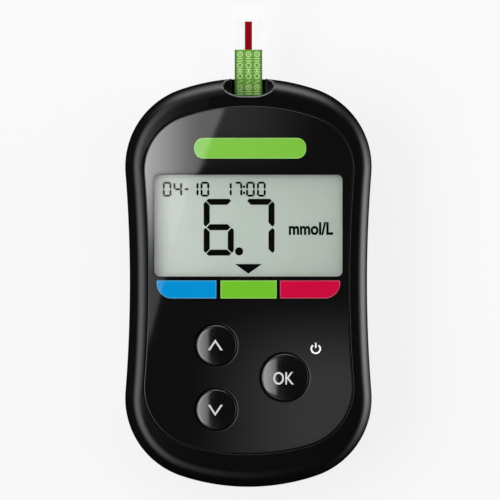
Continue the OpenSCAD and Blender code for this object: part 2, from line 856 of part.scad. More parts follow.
// The plan of the battery door, open past the bottom end of the body
module door_plan(inset) {
    w = door_w - 2 * inset;
    translate([0, door_y - inset - body_l / 4]) rounded_rect(w, body_l / 2, door_corner_r);
    translate([-w / 2, -body_l]) square([w, body_l + door_y - 4 * door_corner_r]);
}

// Stiffer floor over the door, which the door slides under
module door_tray() {
    difference() {
        block(door_w + 2 * tray_margin, -body_l, body_l + door_y + pocket, 0, board_z - 2 * fit);
        loft(BODY, BODY, back_profile(pocket + tray_t));
    }
}

// The hollow of the back housing, with the tray, well, columns and ribs that stand in it left out
module back_cavity() {
    difference() {
        loft(BODY, BODY, back_profile(wall));
        door_tray();
        translate([0, cell_y, 0]) cylinder(r = well_r + well_wall, h = well_roof_z + well_roof_t);
        at_screws(0) cylinder(r = column_r, h = board_z);
        both_sides(support_x) cylinder(r = support_r, h = board_z);
        for (s = SCREWS) block_at(s.x, rib_t, s.y - (s.y > 0 ? 0 : screw_rib_l), screw_rib_l, 0, screw_rib_h);
        both_sides(support_x) block(rib_t, floor_rib_y, floor_rib_l, 0, floor_rib_h);
        block(shelf_w + 2, shelf_y, body_l, split_z - 2 * shelf_t, 5 * shelf_t);
    }
}

// The lip that locates the front housing, left out where the strip's shelf passes
module lip() {
    slab(split_z - lip_foot, lip_foot) difference() {
        body_plan(wall - 2 * fit);
        body_plan(wall + lip_t);
    }
    slab(split_z - fit, lip_h + fit) difference() {
        body_plan(wall + fit / 2);
        body_plan(wall + lip_t);
        translate([-shelf_w / 2 - 2, 0]) square([shelf_w + 4, body_l]);
    }
}

// The shelf under the scoop, which carries the strip's groove
module shelf() {
    intersection() {
        slab(shelf_z - shelf_t, shelf_t) body_plan(fit);
        block(shelf_w, shelf_y, body_l, shelf_z - shelf_t, shelf_t);
    }
}

module door_pocket() {
    difference() {
        slab(-over, door_top_z + door_gap + over) door_plan(0);
        loft(BODY, BODY, back_profile(pocket));
    }
}

module tongue_slots() {
    block(door_w + 2 * (tongue_w + tongue_gap), -body_l, body_l + detent_y,
        tongue_slot_z, pocket - tongue_slot_z);
}

module back_housing() color(SHELL) difference() {
    union() {
        difference() {
            loft(BODY, BODY, back_profile(0, seam));
            back_cavity();
        }
        lip();
        shelf();
    }
    door_pocket();
    tongue_slots();
    translate([0, cell_y, -over]) cylinder(r = well_r, h = well_roof_z + over);
    block(negative_tail_w + 0.6, cell_y + 6.6, 0.8, well_roof_z - over, board_z);
    translate([cell_d / 2 - 0.2, cell_y - positive_tail_w / 2 - 0.6, well_roof_z - over])
        cube([0.6, positive_tail_w + 1.2, board_z]);
    at_screws(-over) cylinder(r = head_r + head_gap, h = over + head_z + head_t);
    at_screws(-over) cylinder(r = clear_hole_r, h = board_z + 2 * over);
    block(groove_w, shelf_y - over, body_l, groove_z, 5);
    socket_opening(0);
}

// The sliding battery door: a piece of the outer skin with side tongues, detent and thumb scallop
module battery_door() color("#1a1a1d") difference() {
    union() {
        difference() {
            intersection() {
                loft(BODY, BODY, back_profile(door_gap));
                slab(-over, door_top_z + over) door_plan(door_gap);
            }
            loft(BODY, BODY, back_profile(door_skin));
        }
        for (sx = [-1, 1]) block_at(sx * (door_w / 2 - door_gap), 2 * tongue_w, tongue_y, tongue_l,
            door_skin - tongue_t, tongue_t - 0.02);
        translate([0, detent_y, door_skin - 0.5]) cylinder(r = detent_r, h = 0.6);
    }
    thumb_scallop();
}

// A shallow hollow for the thumb, crossed by ridges
module thumb_scallop() {
    difference() {
        translate([-thumb_w / 2, thumb_y, door_gap + thumb_depth - thumb_r]) rotate([0, 90, 0])
            cylinder(r = thumb_r, h = thumb_w, $fn = 180);
        for (k = [-2:2]) block(thumb_w + over, thumb_y + ridge_pitch * k - ridge_w / 2, ridge_w,
            -body_l, 2 * body_l);
    }
}

module case_screws() color(STEEL) at_screws(head_z) {
    slot_w = 0.4;
    difference() {
        cylinder(r = head_r, h = head_t);
        for (a = [0, 90]) rotate(a) translate([-0.9, -slot_w / 2, -over]) cube([1.8, slot_w, over + 0.5]);
    }
    cylinder(r = screw_r, h = board_z + 3.5 - head_z);
}

// ---- Test strip ----

// The strip's plan from y to its tip, which has rounded corners
module strip_plan(y) {
    r = strip_corner_r;
    translate([-strip_w / 2, y]) square([strip_w, strip_tip_y - r - y]);
    translate([-strip_w / 2 + r, y]) square([strip_w - 2 * r, strip_tip_y - y]);
    both_sides(strip_w / 2 - r) translate([0, strip_tip_y - r]) circle(r);
}

module strip_base() color("#e9ebe6") slab(strip_z, base_t) strip_plan(strip_end_y);

module strip_electrodes() color(GOLD) for (p = [-1:1]) block_at(p * electrode_pitch, electrode_w,
    strip_end_y + 0.2, contact_pad_l - 0.3, layer_z, electrode_t);

module channel_plan() {
    translate([-channel_w / 2, clear_y]) square([channel_w, strip_clear_l - channel_end]);
}

module strip_spacer() color("#f4f5f2") slab(layer_z, spacer_t) difference() {
    strip_plan(spacer_y);
    channel_plan();
}

module reaction_channel() color("#98111f") slab(layer_z, spacer_t) channel_plan();

module strip_window() color([0.95, 0.97, 0.97, 0.4]) slab(layer_z + spacer_t, cover_t) intersection() {
    strip_plan(spacer_y);
    translate([-strip_w, clear_y]) square([2 * strip_w, strip_l]);
}

module strip_cover() color("#7ac943") block(strip_w, spacer_y, clear_y - spacer_y, layer_z + spacer_t, cover_t);

front_housing();
display_lens();
graphic_film();
lens_tape();
lcd_polariser();
lcd_front_glass();
lcd_rear_glass();
lcd_reflector();
lcd_holder();
zebra_strip();
up_key();
down_key();
ok_key();
up_plunger();
down_plunger();
ok_plunger();
up_switch();
down_switch();
ok_switch();
main_board();
microcontroller();
analogue_chip();
radio_module();
clock_crystal();
chip_components();
strip_connector();
strip_contacts();
data_socket();
socket_tongue();
coin_cell();
cell_contact_negative();
cell_contact_positive();
cell_ribbon();
back_housing();
battery_door();
case_screws();
strip_base();
strip_electrodes();
strip_spacer();
reaction_channel();
strip_window();
strip_cover();
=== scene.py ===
import json
import math
from math import cos, degrees, radians, sin

import bmesh
import bpy
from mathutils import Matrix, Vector

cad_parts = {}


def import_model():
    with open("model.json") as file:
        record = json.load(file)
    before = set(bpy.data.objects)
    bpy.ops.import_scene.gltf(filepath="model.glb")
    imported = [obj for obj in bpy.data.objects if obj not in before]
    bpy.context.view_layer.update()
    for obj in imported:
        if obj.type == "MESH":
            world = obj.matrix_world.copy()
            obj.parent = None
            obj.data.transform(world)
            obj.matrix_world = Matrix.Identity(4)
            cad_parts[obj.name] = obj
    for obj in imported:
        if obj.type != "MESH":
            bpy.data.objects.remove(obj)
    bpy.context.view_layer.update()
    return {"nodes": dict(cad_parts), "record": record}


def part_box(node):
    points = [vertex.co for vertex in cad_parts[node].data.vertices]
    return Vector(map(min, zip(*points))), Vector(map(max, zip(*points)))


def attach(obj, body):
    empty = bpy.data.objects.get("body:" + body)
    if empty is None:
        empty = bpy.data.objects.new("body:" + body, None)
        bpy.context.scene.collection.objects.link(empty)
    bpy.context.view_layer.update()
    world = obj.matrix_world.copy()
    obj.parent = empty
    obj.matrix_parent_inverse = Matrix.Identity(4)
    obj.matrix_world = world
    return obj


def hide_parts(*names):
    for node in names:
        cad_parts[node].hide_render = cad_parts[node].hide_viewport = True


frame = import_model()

MM = 0.001

# ---- driving dimensions

# An outline is (half length, half width, corner arc's centre, corner radius, half width at the waist)
BODY = (43.0, 25.94, 24.37, 17.2, 24.97)
PANEL_UP = (37.2, 22.05, 23.54, 11.94, 21.15)
PANEL_DOWN = (36.0, 22.05, 21.85, 12.86, 21.15)

RIM_Z = 15.5
SPLIT_Z = 8.4
WALL = 1.6
BACK_RUN, BACK_RISE = 5.0, 6.0
FRONT_RUN, FRONT_RISE = 3.5, 4.5
SEAM = 0.15
PANEL_LIP = 0.12
FIT = 0.1

LENS_T = 1.3
LENS_GAP = 0.1
LENS_BEVEL = 0.3
COLLAR_W = 0.24
FILM_T = 0.1
TAPE_T = 0.2
DECK_T = 1.2
LENS_Z = RIM_Z - LENS_T
FILM_Z = LENS_Z - FILM_T
TAPE_Z = FILM_Z - TAPE_T
DECK_Z = TAPE_Z - DECK_T

WINDOW_W, WINDOW_H, WINDOW_R, WINDOW_Y = 39.4, 21.3, 1.1, 11.94
INK_T = 0.015
PRINT_BORDER = 0.14
BAR_Y0, BAR_Y1, BAR_R = -3.3, 0.45, 3.2
BAR_SPANS = {"blue": (-19.22, -6.72), "green": (-5.82, 5.9), "red": (6.6, 19.2)}
# Printed places on the lens, as (middle x, middle y, width, height, corner radius)
BARS = (0.0, 0.85, 38.44, 8.3, BAR_R)
PILL = (0.36, 28.15, 23.4, 4.3, 1.9)
POWER = (14.1, -13.72, 2.4, 2.6, 1.1)

KEY_TOP_Z = RIM_Z + 0.47
KEY_GAP = 0.17
KEY_DOME_R = {"up": 38.0, "down": 38.0, "ok": 30.0}
KEY_EDGE = 0.45
KEY_WALL, KEY_ROOF_T, KEY_FLANGE_W, KEY_FLANGE_T = 0.8, 1.3, 1.0, 0.6
KEY_FLANGE_Z = DECK_Z - 0.65
PLUNGER_R = 1.3
PLUNGER_TOP_Z = SPLIT_Z + 2.0
KEYS = {
    "up": (-6.74, -13.12, 4.28),
    "down": (-6.74, -26.58, 4.28),
    "ok": (7.64, -19.84, 5.0),
}

SCOOP_Y = 39.0
SCOOP_W, SCOOP_FOOT_W = 15.0, 7.0
SCOOP_R, SCOOP_FOOT_R = 6.3, 1.0
SCOOP_FOOT_Z = SPLIT_Z + 1.6
SCOOP_LEAN = 0.4
SCOOP_WALL = 1.2
SCOOP_EDGE = 0.1
SCOOP_BEAD_R = 0.14
SCOOP_BACK_Y = SCOOP_Y - SCOOP_WALL
SHELF_W = 10.0
SHELF_Z = SPLIT_Z + 1.0
GROOVE_W = 7.2
GROOVE_Z = SPLIT_Z + 0.4
PORT_W, PORT_H, PORT_Y0, PORT_Y1 = 6.5, 1.1, 36, 42

STRIP_W = 5.8
STRIP_TIP_Y = 55.5
STRIP_END_Y = 26.5
STRIP_CLEAR_Y = 49.07
STRIP_COVER_Y = STRIP_END_Y + 4.0
STRIP_Z = GROOVE_Z + 0.05
BASE_T, SPACER_T, COVER_T = 0.35, 0.07, 0.08

DOOR_W = 25.0
DOOR_Y = -8.5
DOOR_GAP = 0.2
DOOR_SKIN = 1.4
DOOR_CORNER_R = 2.0
TONGUE_SLOT = 1.15
TONGUE_Y0, TONGUE_Y1, TONGUE_T = -36, -14, 0.58
POCKET = 1.6
TRAY_T = 1.2
CELL_Y = -21.0
WELL_R = 10.4
WELL_ROOF_Z = 5.5
SCREWS = [(sx * 17.5, sy * 30.5) for sx in (-1, 1) for sy in (-1, 1)]
COLUMN_R = 2.6
HEAD_R, HEAD_LEAD, HEAD_Z, SCREW_HOLE_R = 1.7, 0.2, 2.1, 0.95
BOARD_Z = SPLIT_Z - 1.0
SOCKET_W, SOCKET_H, SOCKET_GAP = 7.5, 2.5, 0.3

# Cutters end here, well clear of the body's ends
PAST_END, FAR_PAST_END = 50.0, 60.0

SIDE_STEPS, CORNER_STEPS, END_STEPS, ROUND_STEPS = 10, 24, 18, 14
ROUND_SIDES = 96

# ---- outlines and profiles


def arcs(o):
    """Centres and radii of an outline's tangent arcs."""
    half_l, half_w, corner_y, corner_r, waist = o
    corner_x = half_w - corner_r
    d = half_w - waist
    side_r = (d * d + corner_y ** 2) / (2 * d) - corner_r
    k = half_l - corner_y
    end_r = (corner_x ** 2 + k * k - corner_r ** 2) / (2 * (k - corner_r))
    return corner_x, corner_y, corner_r, side_r, waist + side_r, end_r, half_l - end_r


def quarter(o, inset):
    """A quarter of an outline from the waist to the middle of its end, moved inwards."""
    corner_x, corner_y, corner_r, side_r, side_x, end_r, end_y = arcs(o)
    t_side = math.atan2(corner_y, side_x - corner_x)
    t_end = math.atan2(corner_y - end_y, corner_x)
    side = [t_side * s / SIDE_STEPS for s in range(SIDE_STEPS)]
    corner = [-t_side + (t_end + t_side) * s / CORNER_STEPS for s in range(CORNER_STEPS)]
    end = [t_end + (math.pi / 2 - t_end) * s / END_STEPS for s in range(END_STEPS + 1)]
    side_r, corner_r, end_r = side_r + inset, corner_r - inset, end_r - inset
    return ([(side_x - side_r * cos(t), side_r * sin(t)) for t in side]
            + [(corner_x + corner_r * cos(t), corner_y + corner_r * sin(t)) for t in corner]
            + [(end_r * cos(t), end_y + end_r * sin(t)) for t in end])


def outline(up, down, inset):
    """A whole outline, anticlockwise from the waist at +X."""
    u, d = quarter(up, inset), quarter(down, inset)
    left = [(-x, y) for x, y in reversed(u[1:])]
    below = [(-x, -y) for x, y in d[:-1]]
    right = [(x, -y) for x, y in reversed(d[1:])]
    return u[:-1] + left + below + right


def raised(plan, z):
    return [(x, y, z) for x, y in plan]


def body_ring(inset, z):
    return raised(outline(BODY, BODY, inset), z)


def panel_ring(inset, z):
    return raised(outline(PANEL_UP, PANEL_DOWN, inset), z)


def rounded_hit(dx, dy, w, h, r):
    """Where a ray from the centre of a rounded rectangle crosses its edge."""
    ax, ay, cx, cy = abs(dx), abs(dy), w / 2 - r, h / 2 - r
    t = min(w / 2 / ax if ax else math.inf, h / 2 / ay if ay else math.inf)
    if ax * t > cx and ay * t > cy:
        # Solve |t (ax, ay) - (cx, cy)| = r for the far crossing
        a, b, c = ax * ax + ay * ay, -2 * (ax * cx + ay * cy), cx * cx + cy * cy - r * r
        t = (-b + math.sqrt(max(b * b - 4 * a * c, 0))) / (2 * a)
    return dx * t, dy * t


def window_ring(grow, z):
    """The display window's edge, point for point opposite the panel's outline."""
    w, h, r = WINDOW_W + 2 * grow, WINDOW_H + 2 * grow, WINDOW_R + grow
    hits = [rounded_hit(x, y - WINDOW_Y, w, h, r) for x, y in outline(PANEL_UP, PANEL_DOWN, 0)]
    return [(x, WINDOW_Y + y, z) for x, y in hits]


def angles(first, last, steps):
    return [radians(first + (last - first) * s / steps) for s in range(steps + 1)]


def arc(x, y, r, first, last, steps):
    return [(x + r * cos(t), y + r * sin(t)) for t in angles(first, last, steps)]


def circle(x, y, r, sides=ROUND_SIDES):
    return arc(x, y, r, 0, 360, sides)[:-1]


def rounded_plan(x, y, w, h, r, steps=10):
    """A rounded rectangle's plan, anticlockwise."""
    plan = []
    for cx, cy, start in ((1, 1, 0), (-1, 1, 90), (-1, -1, 180), (1, -1, 270)):
        plan += arc(x + cx * (w / 2 - r), y + cy * (h / 2 - r), r, start, start + 90, steps)
    return plan


def tab_plan(w, y0, y1, r, steps=10):
    """A plan about x = 0 with square corners at y0 and rounded ones at y1."""
    x, y = w / 2 - r, y1 - r
    return [(-w / 2, y0), (w / 2, y0)] + arc(x, y, r, 0, 90, steps) + arc(-x, y, r, 90, 180, steps)


def crossings(line, at):
    """The second coordinates at which a line of points crosses a value of the first."""
    return [b + (d - b) * (at - a) / (c - a) for (a, b), (c, d) in zip(line, line[1:])
            if a != c and (a - at) * (c - at) <= 0]


def back_rings(o, top, chamfer=0.0):
    """Rings of the back's surface moved into the material by o."""
    run, rise = BACK_RUN - o, BACK_RISE - o
    rings = [body_ring(BACK_RUN - run * cos(t), BACK_RISE - rise * sin(t))
             for t in angles(90, 0, ROUND_STEPS)]
    rings.append(body_ring(o, top - chamfer))
    if chamfer:
        rings.append(body_ring(o + chamfer, top))
    return rings


def front_rounding(o, last=90, steps=ROUND_STEPS):
    """Rings of the front's rounding moved into the material by o, from its foot up to an angle."""
    run, rise = FRONT_RUN - o, FRONT_RISE - o
    return [body_ring(FRONT_RUN - run * cos(t), RIM_Z - FRONT_RISE + rise * sin(t))
            for t in angles(0, last, steps)]


# ---- mesh making


def new_object(name, data):
    obj = bpy.data.objects.new(name, data)
    bpy.context.scene.collection.objects.link(obj)
    return obj


def new_mesh(name, points, faces):
    """A mesh from points in millimetres."""
    mesh = bpy.data.meshes.new(name)
    mesh.from_pydata([(x * MM, y * MM, z * MM) for x, y, z in points], [], faces)
    return mesh


def mesh_object(name, points, faces):
    """An object from points in millimetres, with its normals facing out."""
    mesh = new_mesh(name, points, faces)
    bm = bmesh.new()
    bm.from_mesh(mesh)
    bmesh.ops.recalc_face_normals(bm, faces=bm.faces)
    bm.to_mesh(mesh)
    bm.free()
    mesh.validate()
    return new_object(name, mesh)


def skin(name, rings, closed=False):
    """Joins rings of equal length. A closed skin joins its last ring to its first, others get caps."""
    n, m = len(rings[0]), len(rings)
    points = [p for ring in rings for p in ring]
    faces = []
    for j in range(m if closed else m - 1):
        lower, upper = j * n, ((j + 1) % m) * n
        faces += [(lower + k, lower + (k + 1) % n, upper + (k + 1) % n, upper + k) for k in range(n)]
    if not closed:
        faces += [tuple(range(n)), tuple((m - 1) * n + k for k in reversed(range(n)))]
    return mesh_object(name, points, faces)


def prism(name, plan, z0, z1):
    return skin(name, [raised(plan, z) for z in (z0, z1)])


def joined_plates(name, plans, z, t):
    """One mesh of several thin prisms."""
    points, faces = [], []
    for plan in plans:
        n, base = len(plan), len(points)
        points += raised(plan, z) + raised(plan, z + t)
        faces += [tuple(base + k for k in reversed(range(n))), tuple(base + n + k for k in range(n))]
        faces += [(base + k, base + (k + 1) % n, base + n + (k + 1) % n, base + n + k) for k in range(n)]
    return mesh_object(name, points, faces)


def block(w, y0, y1, z0, z1, x=0.0):
    """A cutter or lug of width w about x."""
    x0, x1 = x - w / 2, x + w / 2
    return prism("tool", [(x0, y0), (x1, y0), (x1, y1), (x0, y1)], z0, z1)


def turned(name, x, y, profile, sides=ROUND_SIDES, closed=False):
    """A solid turned about a vertical axis from (radius, height) pairs."""
    return skin(name, [raised(circle(x, y, r, sides), z) for r, z in profile], closed)


def evaluated_mesh(obj):
    bpy.context.view_layer.update()
    return bpy.data.meshes.new_from_object(obj.evaluated_get(bpy.context.evaluated_depsgraph_get()))


def boolean(target, tool, operation="DIFFERENCE"):
    """Applies one boolean and removes the tool."""
    modifier = target.modifiers.new("cut", "BOOLEAN")
    modifier.operation = operation
    modifier.solver = "MANIFOLD"
    modifier.object = tool
    old, result = target.data, evaluated_mesh(target)
    target.modifiers.clear()
    target.data = result
    bpy.data.meshes.remove(old)
    bpy.data.objects.remove(tool)


def smooth(obj, angle=35.0):
    obj.data.shade_smooth()
    obj.data.set_sharp_from_angle(angle=radians(angle))
    normals = obj.modifiers.new("normals", "WEIGHTED_NORMAL")
    normals.keep_sharp = True
    normals.weight = 80
    return obj


def bevel(obj, width, angle=40.0):
    modifier = obj.modifiers.new("bevel", "BEVEL")
    modifier.width = width * MM
    modifier.segments = 2
    modifier.limit_method = "ANGLE"
    modifier.angle_limit = radians(angle)
    modifier.harden_normals = False
    return obj


def dress(obj, slot, *nodes, body="meter_body", ink=None):
    """Gives a piece the material named by its record slot or by an ink, its body, and hides the CAD nodes
    that it stands for.
    """
    obj.data.materials.clear()
    obj.data.materials.append(MATERIALS[ink or slot])
    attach(obj, body)
    if nodes:
        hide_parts(*nodes)
    return obj


# ---- materials

MATERIALS = {}


def feed(made, inputs):
    """Gives inputs of a shader node another node's output or a plain value each."""
    for name, value in inputs.items():
        if isinstance(value, bpy.types.NodeSocket):
            made.id_data.links.new(value, made.inputs[name])
        else:
            made.inputs[name].default_value = value


def node(tree, kind, inputs, **settings):
    """Adds a shader node and returns its outputs."""
    made = tree.nodes.new("ShaderNode" + kind)
    for name, value in settings.items():
        setattr(made, name, value)
    feed(made, inputs)
    return made.outputs


def new_material(name, color, rough, more):
    """A material with one Principled shader, filed under its name."""
    material = bpy.data.materials.new(name)
    material.use_nodes = True
    shader = material.node_tree.nodes["Principled BSDF"]
    feed(shader, {"Base Color": (*color, 1), "Roughness": rough, **more})
    MATERIALS[name] = material
    return material.node_tree, shader


def own_place(tree):
    """The place of a point in the object's own metres."""
    return node(tree, "TexCoord", {})["Object"]


def noise(tree, scale, detail=3.0, stretch=(1, 1, 1)):
    """Noise in the object's own metres, stretched along an axis where a finish is brushed."""
    place = node(tree, "Mapping", {"Vector": own_place(tree), "Scale": stretch})
    inputs = {"Vector": place["Vector"], "Scale": scale, "Detail": detail}
    return node(tree, "TexNoise", inputs)["Fac"]


def ranged(tree, value, to_low, to_high, low=0.0, high=1.0, curve="LINEAR"):
    """Maps a value from low to high onto another range."""
    inputs = {"Value": value, "From Min": low, "From Max": high, "To Min": to_low, "To Max": to_high}
    return node(tree, "MapRange", inputs, interpolation_type=curve)["Result"]


def maths(tree, operation, a, b):
    return node(tree, "Math", {0: a, 1: b}, operation=operation)["Value"]


def blend_color(tree, share, first, second):
    inputs = {"A": first, "B": second, "Factor": share}
    return node(tree, "Mix", inputs, data_type="RGBA")["Result"]


def mix_shaders(tree, share, first, second):
    return node(tree, "MixShader", {"Fac": share, 1: first, 2: second})["Shader"]


def bumps(tree, height, strength, distance):
    inputs = {"Height": height, "Strength": strength, "Distance": distance}
    return node(tree, "Bump", inputs)["Normal"]


def show(tree, shader):
    feed(tree.nodes["Material Output"], {"Surface": shader})


def scaled(color, factor):
    return (*(min(c * factor, 1.0) for c in color), 1)


def plastic(name, color, rough, grain=2500.0, bump=0.05, ior=1.45, variation=0.12, shine=0.5):
    """Moulded plastic: slight cloudiness of colour and gloss, and a fine mould texture."""
    tree, shader = new_material(name, color, rough, {"IOR": ior, "Specular IOR Level": shine})
    dark, pale = scaled(color, 1 - variation), scaled(color, 1 + variation)
    feed(shader, {"Base Color": blend_color(tree, noise(tree, 60.0), dark, pale),
                  "Roughness": ranged(tree, noise(tree, 400.0), rough * 0.85, rough * 1.15),
                  "Normal": bumps(tree, noise(tree, grain, 2.0), bump, 0.00002)})
    return tree, shader


def metal(name, color, rough, stretch=(1, 12, 1)):
    """Plated metal with fine drawn streaks."""
    tree, shader = new_material(name, color, rough, {"Metallic": 1.0})
    streaks = noise(tree, 900.0, 4.0, stretch)
    feed(shader, {"Base Color": blend_color(tree, streaks, scaled(color, 0.85), (*color, 1)),
                  "Roughness": ranged(tree, streaks, rough * 0.7, rough * 1.3),
                  "Normal": bumps(tree, streaks, 0.08, 0.00001)})


def clear(name, color, rough, ior):
    """Clear glass or plastic that lets the lamps' light through to what lies behind it."""
    tree, shader = new_material(name, color, rough, {"IOR": ior, "Transmission Weight": 1.0})
    feed(shader, {"Roughness": ranged(tree, noise(tree, 200.0), 0.0, rough)})
    is_shadow = node(tree, "LightPath", {})["Is Shadow Ray"]
    through = node(tree, "BsdfTransparent", {})["BSDF"]
    glass = mix_shaders(tree, is_shadow, shader.outputs["BSDF"], through)
    show(tree, glass)
    return tree, glass


def inside_box(tree, place, x, y, w, h, r, soft=0.12):
    """1 inside an upright rounded rectangle in millimetres, and 0 from a soft margin outside it on."""
    middle, corner, zero = (x * MM, y * MM, 0), ((w / 2 - r) * MM, (h / 2 - r) * MM, 0), (0, 0, 0)
    value = place
    for operation, numbers in (("MULTIPLY", (1, 1, 0)), ("SUBTRACT", middle), ("ABSOLUTE", zero),
                               ("SUBTRACT", corner), ("MAXIMUM", zero)):
        value = node(tree, "VectorMath", {0: value, 1: numbers}, operation=operation)["Vector"]
    distance = node(tree, "VectorMath", {0: value}, operation="LENGTH")["Value"]
    return ranged(tree, distance, 1.0, 0.0, r * MM, (r + soft) * MM, "SMOOTHSTEP")


def lens_material():
    """Clear over the window, bars, pill and power sign, and backed in black everywhere else."""
    ior = 1.49
    tree, glass = clear("clear_lens", (1, 1, 1), 0.02, ior)
    place = own_place(tree)
    see_through = inside_box(tree, place, 0, WINDOW_Y, WINDOW_W, WINDOW_H, WINDOW_R, 0.25)
    for box in (BARS, PILL, POWER):
        see_through = maths(tree, "MAXIMUM", see_through, inside_box(tree, place, *box))
    backed = node(tree, "BsdfPrincipled", {
        "Base Color": (0.0065, 0.0065, 0.0065, 1), "IOR": ior,
        "Roughness": ranged(tree, noise(tree, 200.0), 0.01, 0.03)})
    show(tree, mix_shaders(tree, see_through, backed["BSDF"], glass))


def board_material():
    """Green solder resist with copper tracks showing through it."""
    tree, shader = new_material("board_green", (0.015, 0.1, 0.045), 0.35, {})
    tracks = node(tree, "TexBrick", {
        "Vector": own_place(tree), "Scale": 260.0, "Mortar Size": 0.05, "Color1": (0.012, 0.09, 0.04, 1),
        "Color2": (0.018, 0.12, 0.05, 1), "Mortar": (0.035, 0.2, 0.08, 1)})
    feed(shader, {"Base Color": tracks["Color"], "Normal": bumps(tree, tracks["Fac"], 0.2, 0.00003)})


def display_ground():
    """The display's pale ground, which pales further towards the left by a painted reflection of the left
    soft box.
    """
    # left is the ground brightened by the painted reflection; right is the ground's own colour
    left, right = (0.53, 0.575, 0.53, 1), (0.425, 0.482, 0.432)
    tree, shader = plastic("lcd_polariser", right, 0.6, grain=6000.0, bump=0.03, variation=0.03, shine=0.06)
    cloudy = shader.inputs["Base Color"].links[0].from_socket
    x = node(tree, "SeparateXYZ", {"Vector": own_place(tree)})["X"]
    # painted reflection: paler at the window's left edge, fading to the ground's own colour by the middle
    painted_reflection_fade = ranged(tree, x, 0.0, 1.0, -WINDOW_W / 2 * MM, 0.0, "SMOOTHSTEP")
    feed(shader, {"Base Color": blend_color(tree, painted_reflection_fade, left, cloudy)})


def make_materials():
    """One material for each slot of the record."""
    plastic("black_shell", (0.005, 0.005, 0.0055), 0.13, bump=0.03, ior=1.38)
    lens_material()
    plastic("printed_film", (0.0025, 0.0025, 0.003), 0.5, bump=0.02, shine=0.06)
    plastic("foam_tape", (0.02, 0.02, 0.02), 0.9, grain=1500.0, bump=0.4)
    display_ground()
    clear("lcd_glass", (0.93, 0.97, 0.95), 0.03, 1.5)
    metal("lcd_reflector", (0.5, 0.54, 0.5), 0.45)
    plastic("white_frame", (0.75, 0.75, 0.72), 0.45)
    plastic("elastomer", (0.04, 0.06, 0.09), 0.7, grain=1200.0, bump=0.3)
    plastic("key_plastic", (0.006, 0.006, 0.0065), 0.09, bump=0.02, ior=1.5)
    plastic("switch_plastic", (0.02, 0.02, 0.02), 0.5)
    metal("switch_metal", (0.6, 0.6, 0.62), 0.3)
    board_material()
    plastic("chip_black", (0.02, 0.02, 0.022), 0.6, grain=5000.0, bump=0.3)
    metal("radio_can", (0.6, 0.61, 0.62), 0.35, (8, 1, 1))
    metal("crystal_can", (0.62, 0.62, 0.64), 0.2)
    plastic("component_brown", (0.25, 0.15, 0.08), 0.5, variation=0.4)
    plastic("connector_plastic", (0.02, 0.02, 0.022), 0.5)
    metal("gold_contact", (0.8, 0.55, 0.2), 0.25)
    metal("socket_steel", (0.58, 0.58, 0.6), 0.3)
    metal("cell_steel", (0.62, 0.62, 0.63), 0.28, (12, 1, 1))
    metal("spring_steel", (0.6, 0.6, 0.6), 0.25)
    plastic("ribbon_film", (0.7, 0.7, 0.67), 0.3)
    plastic("door_plastic", (0.011, 0.011, 0.012), 0.34, grain=3500.0, bump=0.25)
    metal("screw_steel", (0.3, 0.3, 0.31), 0.35)
    plastic("strip_film", (0.97, 0.97, 0.97), 0.4, variation=0.01)
    metal("electrode_gold", (0.8, 0.55, 0.2), 0.3)
    plastic("strip_adhesive", (0.97, 0.97, 0.97), 0.5, variation=0.01)
    plastic("reagent_red", (0.40, 0.006, 0.014), 0.25, variation=0.2)
    clear("strip_clear", (0.99, 1.0, 1.0), 0.05, 1.45)
    plastic("strip_green", (0.175, 0.43, 0.055), 0.4, variation=0.08)


INKS = {
    "ink_blue": (0.0, 0.265, 0.565),
    "ink_green": (0.162, 0.478, 0.026),
    "ink_red": (0.52, 0.0024, 0.05),
    "ink_pill": (0.20, 0.48, 0.052),
    "ink_white": (0.9, 0.9, 0.9),
    "ink_pale_blue": (0.10, 0.38, 0.60),
    "ink_pale_green": (0.36, 0.66, 0.20),
    "ink_pale_red": (0.48, 0.10, 0.15),
    "ink_strip_marks": (0.70, 0.97, 0.48),
    "ink_strip_side": (0.09, 0.24, 0.045),
    "lcd_dark": (0.002, 0.0022, 0.002),
}


def make_inks():
    """Screen-printed inks, the display's dark figures, and a pale grey for the strip mouth's bead that is a
    painted highlight.
    """
    for name, color in INKS.items():
        rough, shine = (0.6, 0.02) if name == "lcd_dark" else (0.45, 0.1)
        plastic(name, color, rough, grain=4000.0, bump=0.02, variation=0.04, shine=shine)
    # pale grey on the strip mouth's bead: a painted highlight line along its edge
    plastic("painted_highlight_grey", (0.2, 0.2, 0.2), 0.4)


# ---- housings


def scoop_ring(z, grow):
    """The strip mouth at one height: a U with rounded corners, open at the end of the body."""
    rise = max(0.0, min(1.0, (z - SCOOP_FOOT_Z) / (RIM_Z - SCOOP_FOOT_Z)))
    flare = rise * rise
    w = (SCOOP_FOOT_W + (SCOOP_W - SCOOP_FOOT_W) * flare) / 2 + grow
    r = SCOOP_FOOT_R + (SCOOP_R - SCOOP_FOOT_R) * flare + grow
    front = SCOOP_Y + SCOOP_LEAN * (1 - rise) - grow
    plan = [(w, BODY[0] + 4), (-w, BODY[0] + 4)]
    return raised(plan + arc(-w + r, front + r, r, 180, 270, 12) + arc(w - r, front + r, r, 270, 360, 12), z)


def scoop_cutter(grow):
    steps = 18
    levels = [SCOOP_FOOT_Z + (RIM_Z - SCOOP_FOOT_Z) * k / steps for k in range(steps + 1)]
    return skin("scoop_tool", [scoop_ring(z, grow) for z in [SPLIT_Z - 1] + levels + [RIM_Z + 1]])


def end_y(x, inset):
    """Where the body's outline, moved in by inset, stands at x at its strip end."""
    ring = [point for point in outline(BODY, BODY, inset) if point[1] > 20]
    return max(crossings(ring, x), default=0.0)


def half_scoop(z):
    """One side of the strip mouth at one height, from the end of the body to the middle of its front."""
    ring = scoop_ring(z, SCOOP_EDGE)
    w, corner = ring[0][0], [(x, y) for x, y, _ in ring[2:] if x > 0][::-1]
    side = [(w, y / 10) for y in range(432, 380, -1) if y / 10 > corner[0][1]]
    return side + corner + [(0, corner[-1][1])]


